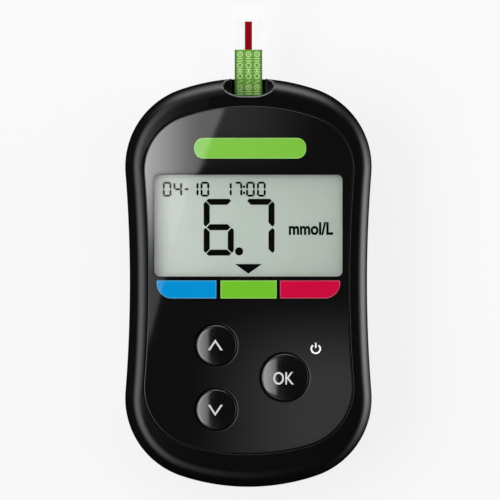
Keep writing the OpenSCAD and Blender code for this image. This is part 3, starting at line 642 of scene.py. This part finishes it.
def scoop_edge():
    """Half of the line where the strip mouth breaks through the housing, from its end to the middle."""
    path = []
    for t in angles(0, 90, 45):
        inset, z = FRONT_RUN * (1 - cos(t)), RIM_Z - FRONT_RISE + FRONT_RISE * sin(t)
        inner = [(x, y, z) for x, y in half_scoop(z) if y <= end_y(x, inset)]
        if not path or math.dist(path[-1], inner[0]) > 0.12:
            path.append(inner[0])
    return path + inner[1:]


def tube(name, path, full_r, sides=10):
    """A round bead along a path, thin at its ends."""
    rings = []
    for k, here in enumerate(path):
        r = full_r * min(1, 0.15 + min(k, len(path) - 1 - k) / 10)
        along = Vector(path[min(k + 1, len(path) - 1)]) - Vector(path[max(k - 1, 0)])
        side = along.cross(Vector((0, 0, 1))).normalized()
        up = side.cross(along).normalized()
        rings.append([tuple(Vector(here) + x * side + y * up) for x, y in circle(0, 0, r, sides)])
    return skin(name, rings)


def scoop_bead():
    """The thin bead along the edge of the strip mouth, pale grey as a painted highlight line."""
    half = scoop_edge()
    path = half + [(-x, y, z) for x, y, z in reversed(half[:-1])]
    bead = smooth(tube("scoop_bead", path, SCOOP_BEAD_R))
    # the bead's grey is a painted highlight, not the shell's own colour
    dress(bead, "black_shell", ink="painted_highlight_grey")


def front_shell():
    """Front housing: rounded wall, flat rim, recess for the lens and the deck with its window."""
    deck_angle = degrees(math.asin((DECK_Z - RIM_Z + FRONT_RISE) / (FRONT_RISE - WALL)))
    rings = [body_ring(WALL, SPLIT_Z), body_ring(SEAM, SPLIT_Z), body_ring(0, SPLIT_Z + SEAM)]
    rings += front_rounding(0)
    rings += [panel_ring(-PANEL_LIP * (1 - sin(t)), RIM_Z - PANEL_LIP * (1 - cos(t)))
              for t in angles(0, 90, 4)]
    rings += [panel_ring(0, TAPE_Z), window_ring(0.5, TAPE_Z), window_ring(0.5, DECK_Z)]
    rings += list(reversed(front_rounding(WALL, deck_angle, 4)))
    shell = skin("front_shell", rings, closed=True)
    cut_key_holes(shell, KEY_GAP, DECK_Z - 1, RIM_Z)
    wall = scoop_cutter(SCOOP_WALL)
    bound = [body_ring(0.4, SPLIT_Z), body_ring(0.4, RIM_Z - FRONT_RISE + 0.5)] + front_rounding(0.4)[2:]
    boolean(wall, skin("tool", bound), "INTERSECT")
    boolean(shell, wall, "UNION")
    boolean(shell, scoop_cutter(0))
    boolean(shell, block(PORT_W, PORT_Y0, PORT_Y1, GROOVE_Z - FIT, GROOVE_Z - FIT + PORT_H))
    boolean(shell, block(SHELF_W + 2 * FIT, SCOOP_BACK_Y - FIT, PAST_END, SPLIT_Z - 1, SHELF_Z + FIT))
    socket_w, socket_top = SOCKET_W + 2 * SOCKET_GAP, SPLIT_Z + SOCKET_H + SOCKET_GAP
    boolean(shell, block(socket_w, -PAST_END, -40, SPLIT_Z - 1, socket_top))
    return dress(smooth(shell), "black_shell", "front_housing")


def door_zone(inset, z0, z1):
    """The plan of the battery door, open past the bottom end, as a prism."""
    plan = tab_plan(DOOR_W - 2 * inset, -FAR_PAST_END, DOOR_Y - inset, DOOR_CORNER_R)
    return prism("tool", plan, z0, z1)


def back_cavity():
    """The hollow of the back housing, with the tray, well, columns and shelf standing in it."""
    cavity = skin("cavity_tool", back_rings(WALL, SPLIT_Z + 1))
    tray = block(DOOR_W + 4, -FAR_PAST_END, DOOR_Y + 1.6, 0, BOARD_Z - 0.2)
    boolean(tray, skin("tool", back_rings(POCKET + TRAY_T, SPLIT_Z + 1)))
    boolean(cavity, tray)
    boolean(cavity, turned("tool", 0, CELL_Y, [(WELL_R + 1, 0), (WELL_R + 1, WELL_ROOF_Z + 0.8)]))
    for x, y in SCREWS:
        boolean(cavity, turned("tool", x, y, [(COLUMN_R, 0), (COLUMN_R, BOARD_Z)], 32))
    boolean(cavity, block(SHELF_W + 2, SCOOP_BACK_Y, PAST_END, SPLIT_Z - 4, 12))
    return cavity


def back_shell():
    """Back housing: rounded tub with the door's pocket, battery well, screw wells and strip shelf."""
    shell = skin("back_shell", back_rings(0, SPLIT_Z, SEAM))
    boolean(shell, back_cavity())
    shelf = skin("tool", [body_ring(0.1, SPLIT_Z - 1), body_ring(0.1, SHELF_Z)])
    boolean(shelf, block(SHELF_W, SCOOP_BACK_Y, PAST_END, 0, 20), "INTERSECT")
    boolean(shell, shelf, "UNION")
    pocket = door_zone(0, -1, BACK_RISE + DOOR_GAP)
    boolean(pocket, skin("tool", back_rings(POCKET, SPLIT_Z + 1)))
    boolean(shell, pocket)
    boolean(shell, block(DOOR_W + 2 * TONGUE_SLOT, -FAR_PAST_END, DOOR_Y - 3, 0.65, POCKET))
    boolean(shell, turned("tool", 0, CELL_Y, [(WELL_R, -1), (WELL_R, WELL_ROOF_Z)]))
    for x, y in SCREWS:
        lead = HEAD_R + HEAD_LEAD
        well = [(lead, -1), (lead, 0), (HEAD_R, HEAD_LEAD), (HEAD_R, HEAD_Z)]
        boolean(shell, turned("tool", x, y, well, 48))
        boolean(shell, turned("tool", x, y, [(SCREW_HOLE_R, 1), (SCREW_HOLE_R, 9)], 32))
    boolean(shell, block(GROOVE_W, SCOOP_BACK_Y - 1, PAST_END, GROOVE_Z, 14))
    dress(smooth(shell), "black_shell", "back_housing")


def battery_door():
    """Sliding door: a piece of the outer skin with side tongues and a ridged thumb scallop."""
    door = skin("door_panel", back_rings(DOOR_GAP, BACK_RISE))
    boolean(door, door_zone(DOOR_GAP, -1, BACK_RISE + 1), "INTERSECT")
    boolean(door, skin("tool", back_rings(DOOR_SKIN, BACK_RISE + 1)))
    for x in (DOOR_GAP - DOOR_W / 2, DOOR_W / 2 - DOOR_GAP):
        top = DOOR_SKIN - 0.02
        boolean(door, block(2, TONGUE_Y0, TONGUE_Y1, top - TONGUE_T, top, x), "UNION")
    thumb_y, thumb_w, thumb_depth, thumb_r = -31.0, 13.0, 0.5, 22.0
    ridge_pitch, ridge_w = 1.8, 0.6
    axis_z = DOOR_GAP + thumb_depth - thumb_r
    bowl = [(thumb_y + thumb_r * sin(t), axis_z + thumb_r * cos(t)) for t in angles(-14, 14, 24)]
    section = bowl + [(bowl[-1][0], -3.0), (bowl[0][0], -3.0)]
    scallop = skin("tool", [[(x, y, z) for y, z in section] for x in (-thumb_w / 2, thumb_w / 2)])
    for k in range(-2, 3):
        y = thumb_y + ridge_pitch * k
        boolean(scallop, block(18, y - ridge_w / 2, y + ridge_w / 2, -4, 2))
    boolean(door, scallop)
    dress(smooth(bevel(door, 0.12, 50)), "door_plastic", "battery_door", body="battery_door")


# ---- panel


def cut_key_holes(obj, extra, z0, z1):
    for x, y, r in KEYS.values():
        boolean(obj, turned("tool", x, y, [(r + extra, z0), (r + extra, z1)]))


def printed_film():
    film = prism("printed_film", outline(PANEL_UP, PANEL_DOWN, LENS_GAP), FILM_Z, FILM_Z + FILM_T * 0.6)
    window = rounded_plan(0, WINDOW_Y, WINDOW_W, WINDOW_H, WINDOW_R, 16)
    boolean(film, prism("tool", window, FILM_Z - 1, FILM_Z + 1))
    cut_key_holes(film, KEY_GAP, FILM_Z - 1, FILM_Z + 1)
    film.visible_shadow = False
    dress(smooth(film), "printed_film", "graphic_film")


def lens_tape():
    outer = [panel_ring(0.6, z) for z in (TAPE_Z, FILM_Z)]
    inner = [window_ring(0.7, z) for z in (FILM_Z, TAPE_Z)]
    tape = skin("tape_ring", outer + inner, closed=True)
    cut_key_holes(tape, 1.0, TAPE_Z - 1, TAPE_Z + 1)
    dress(smooth(tape), "foam_tape", "lens_tape")


def lens():
    """Clear pane with a rounded top edge and key holes."""
    rings = [panel_ring(LENS_GAP, LENS_Z), panel_ring(LENS_GAP, RIM_Z - LENS_BEVEL)]
    rings += [panel_ring(LENS_GAP + LENS_BEVEL * (1 - cos(t)), RIM_Z - LENS_BEVEL * (1 - sin(t)))
              for t in angles(10, 90, 8)]
    pane = skin("lens_pane", rings)
    cut_key_holes(pane, KEY_GAP + COLLAR_W, LENS_Z - 1, RIM_Z + 1)
    pane.visible_shadow = False
    return dress(smooth(pane, 30), "clear_lens", "display_lens")


def key_collars():
    """The fine rounded collar round each key hole, flush with the pane."""
    for name, (x, y, r) in KEYS.items():
        hole = r + KEY_GAP
        outside = hole + COLLAR_W
        profile = [(outside - 0.01, LENS_Z), (outside - 0.01, RIM_Z), (outside - 0.05, RIM_Z - 0.012),
                   (hole + 0.03, RIM_Z - 0.085), (hole, RIM_Z - 0.11), (hole, LENS_Z)]
        collar = smooth(turned(name + "_collar", x, y, profile, closed=True), 60)
        dress(collar, "black_shell")


def plate(name, plan, z, ink):
    """A thin shape printed on the lens."""
    dress(prism(name, plan, z, z + INK_T), "printed_film", ink=ink)


def bar_plan(color, inset):
    """A colour bar, of which the outer bottom corner of the first and the last is rounded."""
    x0, x1 = BAR_SPANS[color]
    x0, x1, y0, y1, r = x0 + inset, x1 - inset, BAR_Y0 + inset, BAR_Y1 - inset, BAR_R - inset
    left = arc(x0 + r, y0 + r, r, 180, 270, 12) if color == "blue" else [(x0, y0)]
    right = arc(x1 - r, y0 + r, r, 270, 360, 12) if color == "red" else [(x1, y0)]
    return [(x1, y1), (x0, y1)] + left + right


def prints():
    """Colour bars and pill with paler borders, and the power sign, printed just under the lens's surface."""
    low = RIM_Z - 4 * INK_T
    high = low + INK_T
    for color in BAR_SPANS:
        plate("rim_" + color, bar_plan(color, 0), low, "ink_pale_" + color)
        plate("bar_" + color, bar_plan(color, PRINT_BORDER), high, "ink_" + color)
    x, y, w, h, r = PILL
    border = PRINT_BORDER
    plate("rim_pill", rounded_plan(x, y, w, h, r), low, "ink_pale_green")
    plate("pill_bare", rounded_plan(x, y, w - 2 * border, h - 2 * border, r - border), high, "ink_pill")
    x, y, ring_r, stroke = 14.1, -13.85, 0.93, 0.34
    outer = arc(x, y, ring_r + stroke / 2, 90 + 38, 90 + 322, 32)
    inner = arc(x, y, ring_r - stroke / 2, 90 + 38, 90 + 322, 32)
    plate("power_ring", outer + inner[::-1], low, "ink_white")
    plate("power_bar", rounded_plan(x, y + 0.75, 0.32, 1.15, 0.1), low, "ink_white")


# ---- display


def segment_plan(name, w, h, t, gap, cut):
    """One of the seven segments of a figure w by h, with mitred ends, from the lower left corner."""
    middle = h / 2
    if name == "g":
        near, far, low, high = cut + 2 * gap, w - cut - 2 * gap, middle - t / 2, middle + t / 2
        return [(near, middle), (near + t / 2, high), (far - t / 2, high), (far, middle),
                (far - t / 2, low), (near + t / 2, low)]
    if name in "ad":
        plan = [(cut + gap, h - cut), (2 * cut + gap, h), (w - 2 * cut - gap, h), (w - cut - gap, h - cut),
                (w - t - gap, h - t), (t + gap, h - t)]
    else:
        plan = [(0, middle + gap + cut), (cut, middle + gap), (t, middle + gap + t - cut), (t, h - t - gap),
                (cut, h - cut - gap), (0, h - 2 * cut - gap)]
    if name in "bc":
        plan = [(w - x, y) for x, y in plan]
    return [(x, h - y) for x, y in plan] if name in "cde" else plan


DIGITS = {"0": "abcdef", "1": "bc", "4": "bcfg", "6": "acdefg", "7": "abc", "-": "g"}
# The figures of the small line and of the reading, as (figure, left edge, width)
SMALL_LINE = (("0", -18.0, 1.83), ("4", -15.75, 1.83), ("-", -13.7, 1.45), ("1", -12.31, 1.83),
              ("0", -10.06, 1.83), ("1", -5.33, 1.83), ("7", -3.0, 1.7), ("0", -0.49, 1.83), ("0", 1.8, 1.83))
READING = (("6", -9.4, 6.33), ("7", -0.85, 6.33))
SMALL_Y = 18.03


def line_plans(figures, y, h, stroke, gap, cut):
    """The segments of a line of figures."""
    return [[(x + px, y + py) for px, py in segment_plan(name, w, h, stroke, gap, cut)]
            for sign, x, w in figures for name in DIGITS[sign]]


def display():
    """The polariser, with seven-segment figures, dot, unit and pointer on it."""
    low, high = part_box("lcd_polariser")
    top = high.z / MM
    y0, y1 = WINDOW_Y - WINDOW_H / 2 - 0.4, high.y / MM
    plan = rounded_plan(0, (y0 + y1) / 2, 2 * high.x / MM, y1 - y0, 0.5)
    film = prism("polariser_film", plan, low.z / MM, top)
    dress(film, "lcd_polariser", "lcd_polariser")
    colon = [rounded_plan(-0.93, SMALL_Y + up, 0.5, 0.5, 0.1, 3) for up in (0.8, 2.1)]
    dot = circle(-1.96, 6.55, 0.86, 32)
    pointer = [(-2.85, 3.9), (0.0, 1.88), (2.85, 3.9)]
    plans = line_plans(SMALL_LINE, SMALL_Y, 3.15, 0.44, 0.04, 0.17) + colon
    plans += line_plans(READING, 5.66, 11.93, 1.27, 0.12, 0.43) + [dot, pointer]
    ink_t = 0.02
    unit = ("lcd_unit", "mmol/L", (13.13, 11.35, top), (9.3, 2.75, ink_t), 0.115)
    for obj in (joined_plates("lcd_figures", plans, top, ink_t), text_piece(*unit)):
        dress(obj, "lcd_polariser", ink="lcd_dark")


def text_piece(name, words, place, size, weight):
    """Generic lettering as a thin mesh fitted to a size, with its underside's middle at a place."""
    curve = bpy.data.curves.new(name, "FONT")
    curve.body = words
    curve.size = 1.0
    curve.extrude = 0.5
    curve.offset = weight * 0.3
    holder = new_object(name + "_curve", curve)
    mesh = evaluated_mesh(holder)
    bpy.data.objects.remove(holder)
    low, high = ([edge(v.co[k] for v in mesh.vertices) for k in range(3)] for edge in (min, max))
    middle = (place[0], place[1], place[2] + size[2] / 2)
    for v in mesh.vertices:
        share = [(v.co[k] - low[k]) / (high[k] - low[k]) - 0.5 for k in range(3)]
        v.co = [(middle[k] + size[k] * share[k]) * MM for k in range(3)]
    mesh.name = name
    return new_object(name, mesh)


# ---- keys


def key_cap(name):
    """A hollow key with a domed top and a rounded edge, turned from its profile."""
    x, y, r = KEYS[name]
    dome_r, dome_w = KEY_DOME_R[name], r - KEY_EDGE
    shoulder = KEY_TOP_Z - dome_r + math.sqrt(dome_r ** 2 - dome_w ** 2)
    roof, low, high, tiny = KEY_TOP_Z - KEY_ROOF_T, KEY_FLANGE_Z, KEY_FLANGE_Z + KEY_FLANGE_T, 0.01
    inner, flange = r - KEY_WALL, r + KEY_FLANGE_W
    profile = [(PLUNGER_R, PLUNGER_TOP_Z), (PLUNGER_R, roof), (inner, roof), (inner, low),
               (flange, low), (flange, high), (r, high)]
    profile += arc(dome_w, shoulder - KEY_EDGE, KEY_EDGE, 0, 80, 8)
    for q in [dome_w * (1 - s / 12) for s in range(1, 13)]:
        profile.append((max(q, tiny), KEY_TOP_Z - dome_r + math.sqrt(dome_r ** 2 - q * q)))
    cap = smooth(turned(name + "_cap", x, y, profile), 30)
    return dress(cap, "key_plastic", name + "_key", body=name + "_button")


def chevron_plan(x, y, w, h, stroke, s):
    """A chevron of two strokes with square ends, that points up where s is 1 and down where it's -1."""
    half_w, foot, tip, rise = w / 2, y - s * h / 2, y + s * h / 2, stroke * 1.25
    return [(x - half_w, foot), (x, tip), (x + half_w, foot), (x + half_w - rise * 0.8, foot),
            (x, tip - s * rise), (x - half_w + rise * 0.8, foot)]


def keys():
    """The three caps, with chevrons and letters that stand a little out of them."""
    caps = [key_cap(name) for name in KEYS]
    sign_t, z = 0.06, KEY_TOP_Z - 0.035
    for name, offset, pointing in (("up", 0.12, 1), ("down", -0.15, -1)):
        x, y, _ = KEYS[name]
        plan = chevron_plan(x - 0.2, y + offset, 3.15, 2.3, 0.5, pointing)
        sign = prism(name + "_sign", plan, z, z + sign_t)
        dress(sign, "key_plastic", body=name + "_button", ink="ink_white")
    x, y, _ = KEYS["ok"]
    sign = text_piece("ok_sign", "OK", (x - 0.27, y - 0.17, z - 0.01), (4.3, 2.65, sign_t), 0.03)
    dress(sign, "key_plastic", body="ok_button", ink="ink_white")
    return caps


# ---- test strip


def test_strip():
    """Layers of the strip, with a plain pattern on the green cover."""
    plan = tab_plan(STRIP_W, STRIP_END_Y, STRIP_TIP_Y, 0.7, 6)
    base = prism("strip_card", plan, STRIP_Z, STRIP_Z + BASE_T)
    dress(smooth(bevel(base, 0.04)), "strip_film", "strip_base", body="test_strip")
    z = STRIP_Z + BASE_T + SPACER_T
    top = z + COVER_T
    cover = prism("strip_green_cover", tab_plan(STRIP_W, STRIP_COVER_Y, STRIP_CLEAR_Y, 0.05, 6), z, top)
    dress(smooth(bevel(cover, 0.02)), "strip_green", "strip_cover", body="test_strip")
    pattern = joined_plates("strip_pattern", strip_marks(), top - 0.01, 0.015)
    dress(pattern, "strip_green", body="test_strip", ink="ink_strip_marks")
    middle, length = (STRIP_COVER_Y + STRIP_CLEAR_Y) / 2, STRIP_CLEAR_Y - STRIP_COVER_Y - 0.1
    edges = [rounded_plan(side * (STRIP_W / 2 - 0.18), middle, 0.34, length, 0.05, 2) for side in (-1, 1)]
    lines = joined_plates("strip_edge_lines", edges, top - 0.01, 0.014)
    dress(lines, "strip_green", body="test_strip", ink="ink_strip_side")
    for obj in (base, cover, pattern, lines):
        obj.visible_glossy = False


MARK_PITCH, MARK_HALF, MARK_STROKE = 1.16, 0.6, 0.21


def ring_halves(x, y):
    """A small ring as two half rings."""
    inner = MARK_HALF - MARK_STROKE
    return [arc(x, y, MARK_HALF, start, start + 180, 8) + arc(x, y, inner, start, start + 180, 8)[::-1]
            for start in (0, 180)]


def mark_plans(kind, x, y):
    """One mark of the pattern: 0 target, 1 bars, 2 and 4 ring, 3 cross-tied bars, 5 slash."""
    if kind == 5:
        left, right = x - MARK_HALF, x + MARK_HALF
        return [[(left, y - 0.28), (left + 0.2, y - 0.34), (right, y + 0.28), (right - 0.2, y + 0.34)]]
    if kind in (1, 3):
        bars = [rounded_plan(x, y + up, 2 * MARK_HALF, MARK_STROKE, 0.08, 2) for up in (-0.27, 0.27)]
        return bars + ([rounded_plan(x, y, MARK_STROKE, 0.34, 0.05, 2)] if kind == 3 else [])
    return ring_halves(x, y) + ([circle(x, y, 0.17, 10)] if kind == 0 else [])


def strip_marks():
    """A plain pattern of marks in three columns on the green cover."""
    marks = []
    for x in (-1.78, 0.03, 1.8):
        y, row = STRIP_CLEAR_Y - 0.95, 0
        while y > STRIP_COVER_Y + 0.7:
            marks += mark_plans(row % 6, x, y)
            y, row = y - MARK_PITCH, row + 1
    return marks


# ---- carried-over CAD nodes

SMALL_BEVELS = {"case_screws": 0.08, "data_socket": 0.06, "coin_cell": 0.05, "radio_module": 0.08}


def dress_cad_nodes():
    """Every CAD node that still shows gets its slot's material and smooth shading."""
    for row in frame["record"]["subparts"]:
        obj = frame["nodes"][row["node"]]
        if obj.hide_render:
            continue
        obj.data.materials.clear()
        obj.data.materials.append(MATERIALS[row["material_slot"]])
        obj.data.shade_smooth()
        obj.data.set_sharp_from_angle(angle=radians(30))
        if row["node"] in SMALL_BEVELS:
            bevel(obj, SMALL_BEVELS[row["node"]])


# ---- studio

FRAME_W = 105.05
AIM_X, AIM_Y = 0.33, 6.84
LENS_MM = 300.0
SENSOR_MM = 36.0
CAMERA_Z = FRAME_W * LENS_MM / SENSOR_MM
CARD_Z = 800.0
RIM_CARD_Z = 18.5
DOME_R = 900.0


def camera():
    data = bpy.data.cameras.new("camera")
    data.lens = LENS_MM
    data.sensor_width = SENSOR_MM
    data.clip_start = 0.01
    obj = new_object("camera", data)
    obj.location = (AIM_X * MM, AIM_Y * MM, (CAMERA_Z + RIM_Z - 3.0) * MM)
    bpy.context.scene.camera = obj


def floor():
    """A pale floor, which the camera, mirrors and glass see mostly as plain white."""
    half, drop, white_share = 3000.0, 0.05, 0.82
    corners = [(-half, -half, 0), (half, -half, 0), (half, half, 0), (-half, half, 0)]
    mesh = new_mesh("floor", corners, [(0, 1, 2, 3)])
    obj = new_object("floor", mesh)
    obj.location.z = -drop * MM
    tree, shader = new_material("floor_white", (0.95, 0.95, 0.95), 0.8, {"Specular IOR Level": 0.1})
    path = node(tree, "LightPath", {})
    seen = path["Is Camera Ray"]
    for ray in ("Is Glossy Ray", "Is Transmission Ray"):
        seen = maths(tree, "MAXIMUM", seen, path[ray])
    white = node(tree, "Emission", {})["Emission"]
    show(tree, mix_shaders(tree, maths(tree, "MULTIPLY", seen, white_share), shader.outputs["BSDF"], white))
    mesh.materials.append(MATERIALS["floor_white"])


def world():
    """A pale horizon under a dark studio ceiling."""
    w = bpy.data.worlds.new("studio")
    bpy.context.scene.world = w
    w.use_nodes = True
    tree = w.node_tree
    place = node(tree, "TexCoord", {})["Generated"]
    ramp = tree.nodes.new("ShaderNodeValToRGB")
    feed(ramp, {"Fac": node(tree, "SeparateXYZ", {"Vector": place})["Z"]})
    horizon, ceiling = ramp.color_ramp.elements
    horizon.position, horizon.color = 0.0, (0.5, 0.5, 0.5, 1)
    ceiling.position, ceiling.color = 0.4, (0.02, 0.02, 0.02, 1)
    feed(tree.nodes["Background"], {"Color": ramp.outputs["Color"]})


def through_grid(tree, shader):
    """Lets a card shine straight on only, as a soft box with a grid does: from aslant it's clear."""
    facing = node(tree, "LayerWeight", {})["Facing"]
    nothing = node(tree, "BsdfTransparent", {})["BSDF"]
    return mix_shaders(tree, ranged(tree, facing, 0, 1, 0.12, 0.3, "SMOOTHSTEP"), shader, nothing)


def reflected(name, points, columns, glow, pieces=(), grid=False):
    """A sheet, listed row by row, that shows only as a reflection, in some pieces or in all."""
    material = bpy.data.materials.new(name + "_glow")
    material.use_nodes = True
    material.cycles.emission_sampling = "NONE"
    tree = material.node_tree
    tree.nodes.clear()
    strength = node(tree, "Attribute", {}, attribute_name="glow")["Fac"]
    surface = node(tree, "Emission", {"Strength": strength})["Emission"]
    if grid:
        surface = through_grid(tree, surface)
    node(tree, "OutputMaterial", {"Surface": surface})
    faces = [(r + c, r + c + 1, r + columns + c + 1, r + columns + c)
             for r in range(0, len(points) - columns, columns) for c in range(columns - 1)]
    mesh = new_mesh(name, points, faces)
    mesh.attributes.new("glow", "FLOAT", "POINT").data.foreach_set("value", glow)
    mesh.materials.append(material)
    obj = new_object(name, mesh)
    for ray in ("camera", "diffuse", "transmission", "shadow"):
        setattr(obj, "visible_" + ray, False)
    if pieces:
        group = bpy.data.collections.new(name + "_pieces")
        for piece in pieces:
            group.objects.link(piece)
        obj.light_linking.receiver_collection = group


def smooth_step(value, low, high):
    t = max(0.0, min(1.0, (value - low) / (high - low)))
    return t * t * (3 - 2 * t)


def hill(value, middle, below, above, power=2.0):
    """1 at the middle, falling away at its own rate on either side."""
    off = (value - middle) / (below if value < middle else above)
    return math.exp(-abs(off) ** power)


def left_glow(turn, elevation):
    """The high soft box on the left, which dims towards the zenith, least so behind the strip end."""
    rest = 0.03 + 0.1 * smooth_step(205 - turn, 0, 25) + 0.26 * smooth_step(180 - turn, 0, 25)
    return (4.1 * hill(turn, 184, 56, 55, 2.4) * smooth_step(elevation, 11, 46)
            * (1 - (1 - rest) * smooth_step(elevation, 52, 92)))


def studio_glow(azimuth, elevation):
    """The soft boxes: a high one on the left, low ones at the top and on the right."""
    turn = azimuth % 360
    left = left_glow(turn, elevation) * (1 - smooth_step(elevation, 76, 82))
    top = 4.9 * hill(turn, 89, 30, 30, 2.5) * hill(elevation, 9, 23, 22)
    right = 5.3 * hill((turn + 180) % 360, 180, 27, 26) * hill(elevation, -6, 25, 18)
    return left + top + right


def dome():
    """The soft boxes' glow as the glossy sides see it: on a sheet on the floor, then on a dome."""
    azimuths = range(0, 361, 5)
    sheet_z = 0.5
    points, glow = [], []
    for reach in (-12, 6, 9, 12, 16, 20, 26, 34, 45, 60, 90, 140, 220, 400, DOME_R - 40):
        seen_at = -degrees(math.atan2(RIM_Z - 4, max(reach, 1)))
        for azimuth in azimuths:
            c, s = cos(radians(azimuth)), sin(radians(azimuth))
            x = 25 * max(-1, min(1, 1.4 * c)) + reach * c
            y = 42 * max(-1, min(1, 1.25 * s)) + reach * s
            points.append((x, y, sheet_z))
            glow.append(studio_glow(azimuth, seen_at))
    for elevation in range(0, 91, 3):
        out, up = DOME_R * cos(radians(elevation)), DOME_R * sin(radians(elevation))
        for azimuth in azimuths:
            a = radians(azimuth)
            points.append((out * cos(a), out * sin(a), up + sheet_z))
            glow.append(studio_glow(azimuth, elevation))
    reflected("dome", points, len(azimuths), glow)


def mirrored(x, y, card_z=CARD_Z):
    """The place on a card at card_z that the camera sees when it looks at x, y on the flat panel."""
    reach = (card_z - RIM_Z) / CAMERA_Z
    return x * (1 + reach) - AIM_X * reach, y * (1 + reach) - AIM_Y * reach, card_z


def panel_half_width(y):
    """Half the width of the display panel at y."""
    ring = [(py, px) for px, py in outline(PANEL_UP, PANEL_DOWN, 0)]
    return max(map(abs, crossings(ring + ring[:1], y)), default=0.0)


def high_card(name, y0, y1, left, right, glow, pane):
    """A card over the meter that shows in the panel between two limits in x, which depend on y."""
    rows, columns = 160, 60
    places = [(left(y) + (right(y) - left(y)) * c / columns, y)
              for y in [y0 + (y1 - y0) * r / rows for r in range(rows + 1)] for c in range(columns + 1)]
    reflected(name, [mirrored(*at) for at in places], columns + 1, [glow(*at) for at in places], [pane])


def rim_card(shell, pane):
    """The top of the left soft box, as the rim sees it from the panel's edge outwards."""
    rows = [(90, panel_ring(-0.03, 0))]
    for elevation in range(90, 70, -2):
        tilt = radians(90 - elevation) / 2
        run = FRONT_RUN * sin(math.atan(math.tan(tilt) * FRONT_RUN / FRONT_RISE))
        rows.append((elevation, body_ring(FRONT_RUN - run, 0)))
    left = [k for k, point in enumerate(rows[0][1]) if point[0] <= -8]
    points, glow = [], []
    for elevation, ring in rows:
        reach = (RIM_CARD_Z - RIM_Z) / math.tan(radians(elevation))
        for k in left:
            before, here, after = ring[k - 1], ring[k], ring[k + 1]
            out = Vector((after[1] - before[1], before[0] - after[0])).normalized()
            x, y, z = mirrored(here[0], here[1], RIM_CARD_Z)
            points.append((x + reach * out.x, y + reach * out.y, z))
            glow.append(left_glow(degrees(math.atan2(out.y, out.x)) % 360, elevation))
    reflected("rim_card", points, len(left), glow, [shell, pane], grid=True)


def key_card(caps):
    """The card that shows in the left of the keys, brighter towards its far side."""
    steps, near, far = 24, -82, -300
    points = [(near + (far - near) * c / steps, y, CARD_Z - 1) for y in (200, -250) for c in range(steps + 1)]
    glow = [2.9 + 4.9 * min(1, (near - x) / 130) for x, _, _ in points]
    reflected("key_card", points, steps + 1, glow, caps)


# The right edge of the bright reflection, as (y, x), which runs down to the left across the display
SLANT = ((-20, -22.9), (1.4, -17.4), (21.5, -12.1), (23.5, -10.4), (39, -4.1))


def slanted_edge(y):
    for (y0, x0), (y1, x1) in zip(SLANT, SLANT[1:]):
        if y <= y1:
            break
    return x0 + (x1 - x0) * (y - y0) / (y1 - y0)


def window_distance(x, y):
    """How far x, y is outside the display window's edge."""
    dx, dy = abs(x) - WINDOW_W / 2 + WINDOW_R, abs(y - WINDOW_Y) - WINDOW_H / 2 + WINDOW_R
    return math.hypot(max(dx, 0), max(dy, 0)) + min(max(dx, dy), 0) - WINDOW_R


def top_glow(x, y):
    """Dim above the display, right of the slanted edge."""
    return 0.52 * smooth_step(y, 22, 34) * (1 - smooth_step(x, -4, 16))


def low_glow(x, y):
    """Dim below the display, at the panel's lower right."""
    return 0.8 * smooth_step(x, -14, 14) * (1 - smooth_step(y, -22, -2))


def panel_glow(x, y):
    """Bright at the upper left, dimmer towards the slanted edge, downwards and over the display."""
    across = 2.9 + 7.4 * (1 - smooth_step(x, -24, -9)) + 2.5 * (1 - smooth_step(x, -23, -20))
    down = (0.13 + 0.87 * smooth_step(y, 0, 24)) * smooth_step(y, -18, -8)
    inside = 1 - smooth_step(window_distance(x, y), 0.0, 0.55)
    soft = 0.5 + 1.3 * hill(y, 25, 8, 6)
    edge = smooth_step(x, slanted_edge(y) - soft / 2, slanted_edge(y) + soft / 2)
    return across * down * (1 - 0.72 * inside) * (1 - edge) + top_glow(x, y) * edge


# Azimuth from +X, anticlockwise seen from above, elevation, width and height in metres, and radiance
LAMP_DISTANCE = 1.0
LAMPS = {
    "left": (178, 44, 1.1, 0.5, 3.75),
    "right": (5, 9, 0.9, 0.35, 4.95),
    "top_left": (118, 9, 0.7, 0.3, 3.5),
    "high_right": (20, 50, 0.6, 0.5, 1.9),
    "high_back": (90, 55, 0.7, 0.4, 1.9),
}


def lamp(name, azimuth, elevation, w, h, radiance):
    """A soft box that faces the meter."""
    a, e = radians(azimuth), radians(elevation)
    place = Vector((cos(a) * cos(e), sin(a) * cos(e), sin(e))) * LAMP_DISTANCE
    data = bpy.data.lights.new(name, "AREA")
    data.shape = "RECTANGLE"
    data.size, data.size_y = w, h
    data.energy = radiance * math.pi * w * h
    obj = new_object(name, data)
    obj.visible_glossy = False
    obj.location = place
    obj.rotation_euler = (-place).to_track_quat("-Z", "Y").to_euler()


def studio(shell, pane, caps):
    """Camera, floor, and the lights that fall on the meter and those that show in its gloss."""
    camera()
    floor()
    world()
    dome()
    high_card("panel_card", 39, -20, lambda y: -25, lambda y: slanted_edge(y) + 1, panel_glow, pane)
    high_card("top_card", 39, 18, lambda y: slanted_edge(y) + 1, lambda y: 18, top_glow, pane)
    high_card("low_card", 0, -37, lambda y: -16, panel_half_width, low_glow, pane)
    rim_card(shell, pane)
    key_card(caps)
    for name, settings in LAMPS.items():
        lamp(name, *settings)
    bpy.context.scene.view_settings.view_transform = "Standard"


# ---- assembly

make_materials()
make_inks()
shell = front_shell()
scoop_bead()
back_shell()
battery_door()
lens_tape()
printed_film()
prints()
pane = lens()
key_collars()
display()
caps = keys()
test_strip()
dress_cad_nodes()
studio(shell, pane, caps)
